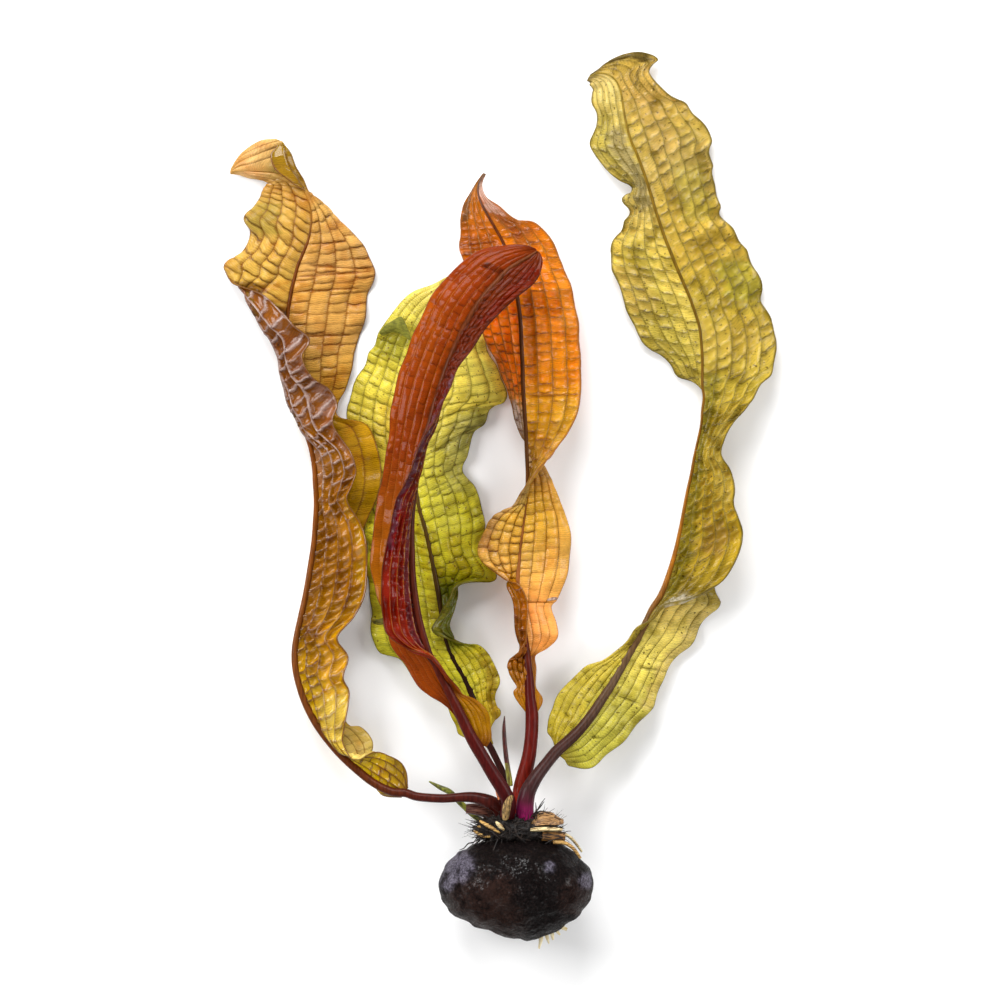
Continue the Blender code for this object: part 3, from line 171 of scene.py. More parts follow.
GREEN_LEAF_STATIONS = (
    ((490, 747, 9.4), (487, 748, 9.2), 0.0, (493, 745, 9.2), 0.0),
    ((486, 740, 9.1), (472, 738, 8.4), 0.2, (490, 729, 8.4), 0.2),
    ((481, 728, 8.7), (458, 734, 7.6), 0.3, (500, 716, 7.8), 0.3),
    ((477, 712, 8.2), (454, 722, 7.0), 0.3, (497, 708, 7.4), 0.3),
    ((472, 696, 7.8), (447, 706, 6.4), 0.4, (495, 694, 7.0), 0.4),
    ((466, 682, 7.4), (430, 695, 6.0), 0.5, (499, 680, 6.6), 0.5),
    ((459, 670, 7.0), (416, 682, 5.4), 0.6, (494, 663, 6.4), 0.5),
    ((453, 659, 6.8), (400, 661, 5.0), 0.6, (484, 650, 6.8), 0.4),
    ((449, 649, 6.6), (380, 654, 4.4), 0.8, (470, 643, 7.2), 0.0),
    ((446, 639, 6.4), (373, 640, 4.0), 0.8, (450, 641, 9.8), -1.6),
    ((443.5, 627, 6.2), (370, 626, 3.8), 0.8, (432, 630, 10.8), -3.2),
    ((441.5, 614, 6.0), (371, 612, 3.6), 0.8, (441, 614, 10.6), -3.4),
    ((439.5, 602, 5.8), (370, 598, 3.4), 0.8, (446, 601, 10.4), -3.6),
    ((437.5, 590, 5.6), (368, 585, 3.2), 0.8, (455, 588, 9.4), -3.8),
    ((435, 577, 5.4), (366, 571, 3.0), 0.8, (480, 583, 6.6), -2.0),
    ((432.5, 564, 5.2), (366, 557, 2.8), 0.8, (497, 577, 4.4), 0.4),
    ((430, 551, 5.1), (366, 543, 2.6), 0.8, (484, 558, 3.6), 0.7),
    ((427, 537, 5.0), (364, 528, 2.4), 0.8, (482, 542, 3.2), 0.8),
    ((423, 523, 5.0), (362, 512, 2.2), 0.8, (484, 524, 3.0), 0.8),
    ((419, 508, 4.9), (359, 496, 2.0), 0.8, (482, 508, 2.8), 0.8),
    ((416, 491, 4.8), (356, 478, 1.9), 0.8, (475, 489, 2.8), 0.7),
    ((413.5, 473, 4.8), (353, 458, 1.8), 0.8, (463, 471, 3.0), 0.6),
    ((412, 456, 4.7), (350, 438, 1.8), 0.8, (467, 455, 3.0), 0.6),
    ((411.5, 440, 4.6), (347.5, 420, 1.8), 0.8, (473, 434, 3.0), 0.6),
    ((412, 425, 4.6), (347.5, 405, 1.8), 0.8, (484, 424, 2.8), 0.7),
    ((413, 409, 4.6), (352, 388, 1.8), 0.8, (489, 409, 2.6), 0.8),
    ((415, 394, 4.6), (360, 371, 1.8), 0.9, (504, 402, 2.4), 0.8),
    ((417.5, 377, 4.6), (368, 355, 2.0), 0.9, (506, 388, 2.4), 0.9),
    ((421, 360, 4.8), (373, 345, 2.4), 0.9, (498, 370, 2.4), 0.9),
    ((426, 342, 5.0), (381, 330, 3.0), 0.9, (489, 352, 2.6), 0.9),
    ((432, 326, 5.0), (392, 310, 3.4), 0.9, (484, 335, 2.8), 0.8),
    ((438, 311, 4.8), (411, 294, 3.4), 0.7, (482, 318, 3.0), 0.7),
    ((446, 297, 4.4), (431, 283, 3.2), 0.5, (479, 302, 3.0), 0.5),
    ((455, 285, 4.0), (448, 276, 3.0), 0.2, (472, 288, 3.0), 0.2),
    ((463, 275, 3.6), (461, 273, 3.4), 0.0, (466, 277, 3.4), 0.0),
)

ORANGE_LEAF_STATIONS = (
    ((532, 717, 12.2), (528, 715, 12.2), 0.0, (536, 714, 12.2), 0.0),
    ((531, 705, 12.0), (519, 703, 11.8), 0.2, (542, 704, 11.8), 0.2),
    ((530, 696, 11.8), (514, 693, 11.4), 0.3, (542.5, 697, 11.4), 0.3),
    ((529.5, 687, 11.6), (517, 687, 11.2), 0.2, (536, 688, 11.2), 0.2),
    ((529, 677, 11.4), (512, 679, 10.8), 0.3, (535, 678, 10.8), 0.3),
    ((528, 667, 11.2), (508, 667, 10.4), 0.3, (536, 667, 10.4), 0.3),
    ((527, 657, 11.0), (511, 658, 10.6), 0.0, (536, 656, 10.2), 0.2),
    ((526, 649, 10.8), (518.5, 651, 13.6), -0.6, (547, 649, 9.6), 0.2),
    ((524.5, 638, 10.6), (526, 641, 14.0), -1.8, (557, 638, 8.8), 0.3),
    ((522.5, 624, 10.4), (527, 625, 15.0), -2.6, (555.5, 624, 8.4), 0.4),
    ((520, 610, 10.2), (528, 609, 15.4), -2.8, (551, 608, 8.0), 0.5),
    ((518.5, 598, 10.0), (526, 597, 15.0), -2.8, (557, 600, 7.6), 0.6),
    ((517.5, 587, 9.8), (519, 585, 13.6), -2.6, (562, 589, 7.2), 0.7),
    ((518, 575, 9.6), (503, 578, 11.2), -1.6, (567, 575, 6.8), 0.7),
    ((519, 562, 9.5), (485, 565, 8.6), 0.2, (570, 560, 6.6), 0.7),
    ((520, 549, 9.4), (478, 549, 7.6), 0.8, (571, 546, 6.6), 0.7),
    ((522, 535, 9.4), (483, 533, 7.4), 0.9, (569.5, 531, 6.8), 0.7),
    ((524, 519, 9.5), (495, 517, 8.0), 0.8, (566.5, 515, 7.2), 0.7),
    ((526, 504, 9.7), (513, 505.5, 9.8), 0.4, (559, 501, 7.6), 0.6),
    ((527, 492, 9.9), (521, 491, 12.4), 0.2, (555, 489, 7.6), 0.5),
    ((527.5, 481, 10.1), (528, 480, 14.2), 0.2, (551.5, 478, 7.2), 0.3),
    ((527.5, 470, 10.3), (538, 470, 14.6), 0.2, (544, 467, 6.4), 0.1),
    ((527, 458, 10.4), (550, 458, 13.6), 0.2, (533, 454, 6.0), 0.0),
    ((526.5, 446, 10.5), (560, 443, 11.8), 0.0, (525, 441, 6.0), 0.0),
    ((526, 432, 10.6), (569, 431, 10.2), -0.4, (520, 429, 6.4), -0.2),
    ((525, 418, 10.7), (576, 417, 9.2), -0.6, (512.5, 416, 6.8), -0.3),
    ((524, 402, 10.8), (580, 401, 8.6), -0.8, (508.5, 400, 7.2), -0.4),
    ((523, 385, 10.9), (582, 382, 8.2), -0.9, (506.5, 386, 7.6), -0.5),
    ((522.5, 365, 11.0), (581, 361, 8.0), -0.9, (497, 364, 8.0), -0.6),
    ((521.5, 344, 11.0), (580, 340, 8.0), -0.9, (487, 343, 8.2), -0.7),
    ((520.5, 322, 11.0), (578.5, 320, 8.0), -0.9, (479, 322, 8.4), -0.7),
    ((518, 301, 11.0), (574.5, 298, 8.0), -0.9, (472, 300, 8.4), -0.8),
    ((514, 280, 11.0), (568.5, 279, 8.0), -0.9, (467, 280, 8.2), -0.8),
    ((509, 260, 10.8), (560.5, 258, 8.0), -0.8, (463.5, 260, 7.8), -0.8),
    ((503.5, 243, 10.4), (551, 240, 7.8), -0.7, (458.5, 247, 7.4), -0.7),
    ((496, 229, 9.9), (535, 222.5, 7.6), -0.5, (460, 232, 7.0), -0.5),
    ((488, 215, 9.4), (517, 218, 7.6), -0.4, (461.5, 217, 6.8), -0.4),
    ((481.5, 203, 8.8), (500, 206.5, 7.4), -0.3, (464, 204, 6.8), -0.3),
    ((478, 192, 8.2), (487, 197, 7.2), -0.2, (469, 193, 6.8), -0.1),
    ((479, 182, 7.6), (482.5, 184, 7.2), 0.0, (475, 183, 7.0), 0.0),
    ((484.5, 172.5, 7.0), (486, 173, 6.9), 0.0, (483, 172, 6.9), 0.0),
)

RIGHT_LEAF_STATIONS = (
    ((556, 752, 14.6), (555, 744, 14.6), 0.0, (562, 759, 14.4), 0.0),
    ((565, 744, 13.7), (549, 736, 12.6), 0.2, (572, 767, 12.4), 0.2),
    ((575, 735, 12.8), (547, 728, 11.6), 0.3, (590, 767.5, 11.0), 0.3),
    ((585, 724, 12.0), (551, 715, 10.6), 0.4, (609, 754, 9.8), 0.4),
    ((594, 712, 11.2), (554, 704, 9.8), 0.5, (624, 740, 8.8), 0.5),
    ((602, 700, 10.5), (562, 691, 9.2), 0.6, (638, 725, 8.0), 0.5),
    ((610, 688, 9.9), (574, 677, 8.8), 0.6, (650, 712, 7.2), 0.5),
    ((617, 676, 9.4), (587, 668, 8.6), 0.6, (656, 702, 6.6), 0.5),
    ((624, 664, 9.0), (602, 661, 9.0), 0.5, (661, 687, 6.0), 0.5),
    ((631, 652, 8.8), (617, 651, 9.6), 0.3, (668, 670, 5.4), 0.5),
    ((637, 641, 8.6), (628, 640, 10.2), 0.1, (680, 656, 5.0), 0.5),
    ((643, 630, 8.5), (638, 628, 11.0), 0.0, (693, 643, 4.6), 0.5),
    ((648, 620, 8.4), (650, 619, 12.2), 0.0, (702, 627, 4.2), 0.4),
    ((653, 609, 8.4), (664, 607, 13.4), 0.2, (712, 613, 4.0), 0.3),
    ((660, 598, 8.4), (684, 598, 14.2), 0.4, (722, 603, 3.8), 0.0),
    ((665, 587, 8.4), (708, 592, 14.0), 0.2, (716, 590, 3.6), -0.3),
    ((669.5, 574, 8.4), (724, 579, 13.6), -0.4, (713, 576, 3.4), -0.5),
    ((674, 559, 8.4), (738, 557, 13.2), -0.8, (713, 559, 3.2), -0.7),
    ((678, 543, 8.4), (743, 534, 13.0), -1.0, (715, 541, 3.0), -0.8),
    ((682, 524, 8.4), (738.5, 517, 13.0), -1.2, (716, 522, 3.0), -0.8),
    ((685, 508, 8.4), (734, 504, 13.0), -1.2, (714, 505, 3.0), -0.8),
    ((688, 492, 8.4), (735, 488, 13.0), -1.2, (711, 488, 3.0), -0.8),
    ((692, 474, 8.4), (731, 471, 13.0), -1.2, (708, 470, 3.0), -0.8),
    ((695, 457, 8.4), (721.5, 454, 13.0), -1.2, (706, 452, 3.0), -0.8),
    ((699, 439, 8.4), (725, 439, 12.8), -1.2, (712, 434, 3.0), -0.8),
    ((702, 424, 8.4), (734, 422, 12.4), -1.1, (728, 420, 3.0), -0.8),
    ((703, 410, 8.4), (746, 409, 11.8), -1.0, (732, 405, 3.0), -0.8),
    ((704.5, 397, 8.4), (754, 398, 10.8), -0.9, (722, 394, 3.0), -0.7),
    ((703, 385, 8.5), (761, 385, 9.6), -0.8, (702, 386, 3.0), -0.5),
    ((703, 372, 8.6), (773, 373, 8.0), -0.8, (682, 378, 3.4), -0.3),
    ((703, 358, 8.7), (776, 356, 6.8), -0.8, (673, 366, 4.0), -0.4),
    ((702, 342, 8.8), (777, 336, 5.8), -0.9, (655, 352, 4.6), -0.6),
    ((700, 326, 8.8), (773, 320, 5.2), -0.9, (641, 337, 4.8), -0.8),
    ((695, 310, 8.8), (763, 302, 4.8), -0.9, (630, 318, 4.8), -0.9),
    ((690, 296, 8.8), (764, 288, 4.6), -0.9, (625, 301, 4.8), -0.9),
    ((683.5, 281, 8.8), (757, 271, 4.4), -0.9, (617, 280, 4.8), -0.9),
    ((677, 266, 8.8), (750.5, 256, 4.2), -0.9, (613, 265, 4.8), -0.9),
    ((671, 251, 8.8), (744, 244, 4.2), -0.9, (611, 250, 4.8), -0.8),
    ((665, 236, 8.8), (735, 231, 4.2), -0.9, (617, 234, 4.8), -0.8),
    ((660, 221, 8.8), (722, 214, 4.4), -0.8, (625, 223, 5.2), -0.6),
    ((655, 206, 8.8), (720.5, 204, 4.4), -0.8, (629.5, 211, 5.6), -0.4),
    ((651, 192, 8.8), (718, 190, 4.6), -0.8, (624, 198, 5.6), -0.4),
    ((646.5, 178, 8.8), (712.5, 174, 4.6), -0.8, (630, 187, 5.8), -0.4),
    ((642, 165, 8.8), (714.5, 164, 4.8), -0.7, (620, 177, 5.6), -0.5),
    ((637, 152, 8.8), (709, 151, 5.0), -0.7, (603, 165, 5.2), -0.6),
    ((632, 141, 8.7), (713, 138, 5.2), -0.7, (590, 145, 5.0), -0.6),
    ((628, 128, 8.5), (707, 125, 5.4), -0.6, (596, 129, 5.2), -0.6),
    ((625, 114, 8.2), (694, 113, 5.6), -0.6, (596, 113, 5.2), -0.6),
    ((623, 101, 7.9), (686, 100, 5.8), -0.5, (593, 101, 5.2), -0.6),
    ((621, 90, 7.5), (667, 92, 6.0), -0.5, (592, 90, 5.2), -0.5),
    ((617, 80, 7.0), (650, 71, 6.0), -0.5, (592, 86, 5.0), -0.4),
    ((611, 74, 6.5), (659, 57, 5.8), -0.5, (591.5, 83.5, 4.8), -0.2),
    ((604, 71.5, 6.0), (641, 51, 5.6), -0.4, (590.5, 82, 4.6), -0.1),
    ((597, 71.5, 5.4), (614, 58, 5.2), -0.2, (589.5, 80.5, 4.4), 0.0),
    ((592, 73.5, 4.8), (599, 66.5, 4.8), 0.0, (588.5, 79.5, 4.4), 0.0),
    ((588.5, 76.5, 4.4), (591, 72, 4.4), 0.0, (587.5, 79, 4.2), 0.0),
)

# A route holds photo column, photo row, height in mm and radius in mm, from the crown outwards
LEFT_STALK_ROUTE = (
    (503, 817, 14.8, 1.8), (498, 807, 15.8, 1.8), (490, 802, 16.0, 1.75), (480, 798.5, 15.6, 1.5),
    (469, 797, 15.2, 1.3), (457, 797.5, 14.8, 1.15), (444, 798.5, 14.4, 1.1), (430, 798, 14.0, 1.1),
    (416, 796.5, 13.5, 1.1),
)
RED_STALK_ROUTE = (
    (507, 817, 20.0, 1.85), (508.5, 802, 20.8, 1.85), (503, 789, 21.4, 1.8), (494, 775, 21.9, 1.7),
    (485, 760, 22.4, 1.6),
)
GREEN_STALK_ROUTE = (
    (509, 812, 10.8, 1.0), (507.5, 795, 10.9, 1.0), (504, 777, 10.6, 0.9), (497, 761, 10.0, 0.85),
)
ORANGE_STALK_ROUTE = (
    (521, 822, 13.2, 2.2), (521, 806, 13.4, 2.2), (521.5, 790, 13.4, 2.15), (524.5, 775, 13.2, 1.95),
    (529, 756, 12.9, 1.75), (531.5, 735, 12.6, 1.65),
)
RIGHT_STALK_ROUTE = (
    (525, 819, 18.2, 2.2), (525, 805, 18.8, 2.2), (528, 791, 19.0, 2.0), (536, 777, 18.2, 1.7),
    (546, 764, 16.6, 1.5),
)

# Root stubs that are fused to the tuber's lower side
TUBER_ROOT_ROUTES = (
    ((541, 930, 13.0, 0.7), (541, 939, 13.0, 0.55), (539, 949, 12.6, 0.2)),
    ((545, 928, 13.6, 0.6), (547, 937, 13.6, 0.45), (549, 944, 13.4, 0.15)),
    ((550, 925, 14.2, 0.6), (552, 934, 14.2, 0.5), (553, 940, 14.0, 0.25)),
    ((553, 923, 14.8, 0.6), (557, 931, 14.8, 0.45), (560, 935, 14.8, 0.2)),
    ((556, 922, 15.6, 0.7), (562, 927, 15.6, 0.55), (567, 929.5, 15.6, 0.4)),
)

BASE_SCALE_ROWS = (
    ((502.5, 819, 22.9), (505, 819.5, 24.0), (508.5, 818.5, 23.2)),
    ((502, 812, 23.3), (506, 812, 24.5), (509.5, 812, 23.5)),
    ((503, 805, 23.5), (507, 804.5, 24.6), (510.5, 805, 23.8)),
    ((505.5, 799, 23.7), (509, 798.5, 24.5), (512, 799.5, 24.0)),
    ((509.5, 795, 24.0), (512, 794, 24.3), (513.8, 794.5, 24.1)),
)

# Loose dark hairs that stand off the crown
CROWN_HAIRS = (
    ((533, 817, 19.0, 0.20), (537, 810, 20.0, 0.17), (541, 803, 20.6, 0.12), (545, 797.5, 21.0, 0.06)),
    ((530, 818, 19.5, 0.22), (535, 812, 20.4, 0.20), (540, 806.5, 20.8, 0.15), (544, 801, 21.0, 0.08)),
    ((534, 816, 20.0, 0.18), (539, 811, 20.4, 0.15), (545, 811, 20.4, 0.10), (550, 814, 20.0, 0.05)),
    ((537, 814, 18.5, 0.16), (536, 807, 19.0, 0.13), (535.5, 802, 19.4, 0.06)),
    ((531, 820, 20.5, 0.20), (527, 826, 21.8, 0.20), (519, 829, 22.6, 0.18), (510, 834, 22.8, 0.12)),
    ((540, 824, 19.5, 0.18), (532, 824.5, 21.0, 0.20), (522, 821, 22.6, 0.18), (514, 823, 23.4, 0.10)),
    ((474, 842, 17.6, 0.18), (468, 843.5, 17.0, 0.16), (464, 848, 16.4, 0.13), (459, 850, 15.8, 0.06)),
    ((480, 840, 18.0, 0.20), (473, 846, 17.6, 0.17), (475, 850, 17.4, 0.10)),
    ((486, 838, 19.4, 0.18), (479, 843, 19.0, 0.15), (476, 840, 18.4, 0.08)),
    ((515, 834, 23.0, 0.16), (523, 838, 23.4, 0.16), (531, 839.5, 23.0, 0.10)),
    ((498, 838, 22.6, 0.16), (495.5, 844, 23.6, 0.15), (493, 850, 24.4, 0.08)),
    ((556, 834, 20.8, 0.14), (562, 835, 20.6, 0.14), (566, 831, 20.4, 0.10), (571, 830.5, 20.0, 0.05)),
    ((545, 843, 22.6, 0.16), (553, 839, 22.4, 0.16), (562, 838, 21.6, 0.14), (564, 844, 21.4, 0.07)),
    ((478, 822, 18.4, 0.16), (485, 829, 20.6, 0.16), (492, 831, 22.0, 0.14), (500, 838, 23.0, 0.08)),
    ((500, 822, 22.6, 0.16), (507, 826, 23.6, 0.18), (512, 832, 23.6, 0.16), (508, 838, 23.4, 0.08)),
    ((520, 818, 22.0, 0.18), (515, 826, 23.4, 0.18), (518, 835, 23.6, 0.14), (526, 842, 23.4, 0.07)),
)

# Rows of small thin sheets: each row is a line of places across the sheet
GREEN_FOLD_ROWS = (
    ((378.5, 332, 5.0), (384, 325, 5.4), (390, 321.5, 5.8), (397, 317, 6.2), (401.5, 314.5, 6.4)),
    ((379.5, 333, 4.8), (386, 329, 5.4), (393, 327, 5.9), (400, 325, 6.3), (406, 324, 6.5)),
    ((382, 336, 4.2), (389, 331.5, 4.7), (396, 331, 5.2), (404, 335, 5.6), (413, 343, 5.9)),
)
GREEN_LOBE_ROWS = (
    ((370.5, 617, 5.4), (375.5, 620.5, 5.7), (381, 619.5, 5.9), (387, 614, 6.0)),
    ((371, 619.5, 5.2), (376, 622.5, 5.6), (382, 622, 5.8), (388, 617, 5.9)),
    ((372, 623, 4.6), (377, 625.5, 4.9), (383, 625, 5.2), (389, 621, 5.4)),
)
ORANGE_TAB_ROWS = (
    ((547, 599, 8.6), (552, 597.5, 8.6), (558, 597, 8.4)),
    ((547, 601.5, 8.6), (552, 600.5, 8.8), (558, 600, 8.6)),
)
HUSK_ROWS = (
    (
        ((531, 822, 20.0), (537, 817, 20.6), (545, 815.5, 20.6), (553, 817.5, 19.8), (560, 821.5, 18.8)),
        ((530, 824.5, 20.4), (538, 820, 21.4), (546, 819, 21.6), (555, 820.5, 20.6), (564.5, 822, 19.0)),
        ((531, 827, 20.6), (538, 824.5, 21.6), (547, 824, 21.8), (555, 824.5, 20.6), (562, 824, 19.4)),
    ),
    (
        ((534, 818, 19.0), (539, 814.5, 19.6), (546, 813.5, 19.6), (552, 815, 19.0)),
        ((533, 820, 19.8), (540, 817, 20.6), (548, 816.5, 20.4), (556, 818.5, 19.4)),
    ),
    (
        ((530, 827.5, 21.2), (540, 826.2, 22.2), (552, 826.4, 21.8), (562, 828, 20.6)),
        ((530, 830.5, 21.4), (540, 829.6, 22.4), (552, 829.6, 22.0), (564, 829.6, 20.6)),
    ),
)

HUSK_ROUTE = (
    (534, 822, 15.0, 1.2), (541, 820, 15.2, 2.0), (549, 819.5, 15.4, 2.0), (556, 821, 15.6, 1.3),
    (563.5, 821.5, 15.8, 0.5),
)


class Side(Enum):
    """The two halves of a blade."""

    LEFT = -1
    RIGHT = 1


def linear(hex_colour: str) -> tuple[float, float, float, float]:
    """Turn an sRGB hex colour to linear light.

    Args:
        hex_colour: Six hex digits, with or without a leading hash.

    Returns:
        Red, green, blue and an alpha of one.
    """
    digits = hex_colour.lstrip("#")
    channels = []
    for start in (0, 2, 4):
        value = int(digits[start:start + 2], 16) / 255.0
        channels.append(value / 12.92 if value <= 0.04045 else ((value + 0.055) / 1.055) ** 2.4)
    return (*channels, 1.0)


def place(column: float, row: float, height: float) -> Vector:
    """Turn a photo column and row and a height in mm into a place in metres."""
    return Vector(((column - ORIGIN_COLUMN) * PHOTO_PIXEL, (ORIGIN_ROW - row) * PHOTO_PIXEL, height * MM))


def smooth_curve(points: np.ndarray, positions: np.ndarray) -> np.ndarray:
    """Read a smooth curve through the points.

    Args:
        points: One point, or one number, per row.
        positions: Where to read, counted in points.

    Returns:
        One point, or number, for each position.
    """
    last = len(points) - 1
    index = np.clip(positions.astype(int), 0, last - 1)
    share = positions - index
    if points.ndim > 1:
        share = share[:, None]
    before = points[np.maximum(index - 1, 0)]
    start = points[index]
    end = points[index + 1]
    after = points[np.minimum(index + 2, last)]
    slope = (end - before) * 0.5
    square = before - start * 2.5 + end * 2.0 - after * 0.5
    cube = (after - before) * 0.5 + (start - end) * 1.5
    return start + slope * share + square * share ** 2 + cube * share ** 3


def unit(vectors: np.ndarray) -> np.ndarray:
    """Scale vectors to a length of one."""
    lengths = np.linalg.norm(vectors, axis=-1, keepdims=True)
    return vectors / np.maximum(lengths, 1e-12)


def scatter(*keys: np.ndarray) -> np.ndarray:
    """Return an even spread of numbers from 0 to 1 that depends only on the keys."""
    total = sum(key * factor for key, factor in zip(keys, (12.9898, 78.233, 37.719, 9.131)))
    return np.mod(np.sin(total) * 43758.5453, 1.0)


def add_node(tree: bpy.types.NodeTree, kind: str, inputs: dict | None = None, **settings) -> bpy.types.Node:
    """Add a shader node.

    Args:
        tree: The material's node tree.
        kind: The node's type name.
        inputs: For each input's name or number, a value or another node's output.
        settings: The node's own properties.

    Returns:
        The new node.
    """
    node = tree.nodes.new(kind)
    for name, value in settings.items():
        setattr(node, name, value)
    fill(tree, node, inputs or {})
    return node


def mixed(tree: bpy.types.NodeTree, blend: str, factor: object, first: object, second: object):
    """Mix two colours and return the mixed colour's socket."""
    node = add_node(tree, "ShaderNodeMix", {0: factor, 6: first, 7: second}, data_type="RGBA", blend_type=blend)
    return node.outputs[2]


def maths(tree: bpy.types.NodeTree, operation: str, first: object, second: object = 0.0):
    """Work out one number from two and return its socket."""
    return add_node(tree, "ShaderNodeMath", {0: first, 1: second}, operation=operation).outputs[0]


def plus(tree: bpy.types.NodeTree, first: object, second: object):
    """Add two numbers and return the sum's socket."""
    return maths(tree, "ADD", first, second)


def fill(tree: bpy.types.NodeTree, node: bpy.types.Node, inputs: dict) -> None:
    """Set a node's inputs to values, or link them to other nodes' outputs."""
    for key, value in inputs.items():
        if isinstance(value, bpy.types.NodeSocket):
            tree.links.new(value, node.inputs[key])
        else:
            node.inputs[key].default_value = value


def ranged(tree: bpy.types.NodeTree, value: object, low: float, high: float, to_low: float, to_high: float):
    """Map a number smoothly from one range to another and return its socket."""
    inputs = {"Value": value, "From Min": low, "From Max": high, "To Min": to_low, "To Max": to_high}
    return add_node(tree, "ShaderNodeMapRange", inputs, interpolation_type="SMOOTHSTEP").outputs[0]


def new_material(name: str) -> tuple[bpy.types.Material, bpy.types.NodeTree, bpy.types.Node]:
    """Make a material and return it with its node tree and its shader."""
    material = bpy.data.materials.new(name)
    material.use_nodes = True
    tree = material.node_tree
    return material, tree, tree.nodes["Principled BSDF"]


def mesh_object(name: str, mesh: bpy.types.Mesh) -> bpy.types.Object:
    """Put a mesh in the scene, smooth shaded, at the origin."""
    shape = bpy.data.objects.new(name, mesh)
    bpy.context.scene.collection.objects.link(shape)
    mesh.shade_smooth()
    return shape


def dress(shape: bpy.types.Object, node: str, *materials: bpy.types.Material) -> None:
    """Give a piece its materials, and let it ride and stand for its node."""
    shape.data.materials.clear()
    for material in materials:
        shape.data.materials.append(material)
    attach(shape, "root")
    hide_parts(node)
    LOG.info("%s: %d faces", shape.name, len(shape.data.polygons))


def store(mesh: bpy.types.Mesh, name: str, values: np.ndarray) -> None:
    """Keep one number, or one colour, for each point of a mesh."""
    kind, field_name = ("FLOAT_COLOR", "color") if values.ndim > 1 else ("FLOAT", "value")
    attribute = mesh.attributes.new(name, kind, "POINT")
    attribute.data.foreach_set(field_name, np.ascontiguousarray(values, dtype=np.float32).ravel())


def mesh_points(mesh: bpy.types.Mesh) -> np.ndarray:
    """Return the places of a mesh's points."""
    spots = np.empty(len(mesh.vertices) * 3, dtype=np.float32)
    mesh.vertices.foreach_get("co", spots)
    return spots.reshape(-1, 3)


def tube_mesh(name: str, splines: list, sides: int) -> bpy.types.Mesh:
    """Make round tubes with closed ends.

    Args:
        name: The mesh's name.
        splines: For each tube, its places and its radii in metres.
        sides: How many sides each tube has, an even number of at least 4.

    Returns:
        One mesh that holds all the tubes.
    """
    curve = bpy.data.curves.new(f"{name} route", "CURVE")
    curve.dimensions = "3D"
    curve.bevel_depth = 1.0
    curve.bevel_resolution = sides // 2 - 2
    curve.use_fill_caps = True
    for places, radii in splines:
        spline = curve.splines.new("POLY")
        spline.points.add(len(places) - 1)
        for point, spot, radius in zip(spline.points, places, radii):
            point.co = (*spot, 1.0)
            point.radius = radius
    guide = bpy.data.objects.new(f"{name} guide", curve)
    bpy.context.scene.collection.objects.link(guide)
    evaluated = guide.evaluated_get(bpy.context.evaluated_depsgraph_get())
    mesh = bpy.data.meshes.new_from_object(evaluated)
    bpy.data.objects.remove(guide)
    bpy.data.curves.remove(curve)
    shell = bmesh.new()
    shell.from_mesh(mesh)
    bmesh.ops.remove_doubles(shell, verts=shell.verts, dist=1e-7)
    bmesh.ops.recalc_face_normals(shell, faces=shell.faces)
    shell.to_mesh(mesh)
    shell.free()
    mesh.name = name
    return mesh


def stops_between(stops: tuple, positions: np.ndarray, part: int) -> np.ndarray:
    """Read colours between the stops of a table.

    Args:
        stops: Rows of a position and hex colours.
        positions: Where to read the colours.
        part: Which colour of each row to read, counted from 1.

    Returns:
        A linear colour with alpha for each position.
    """
    marks = [stop[0] for stop in stops]
    colours = np.array([linear(stop[part]) for stop in stops])
    return np.stack([np.interp(positions, marks, colours[:, channel]) for channel in range(4)], axis=1)


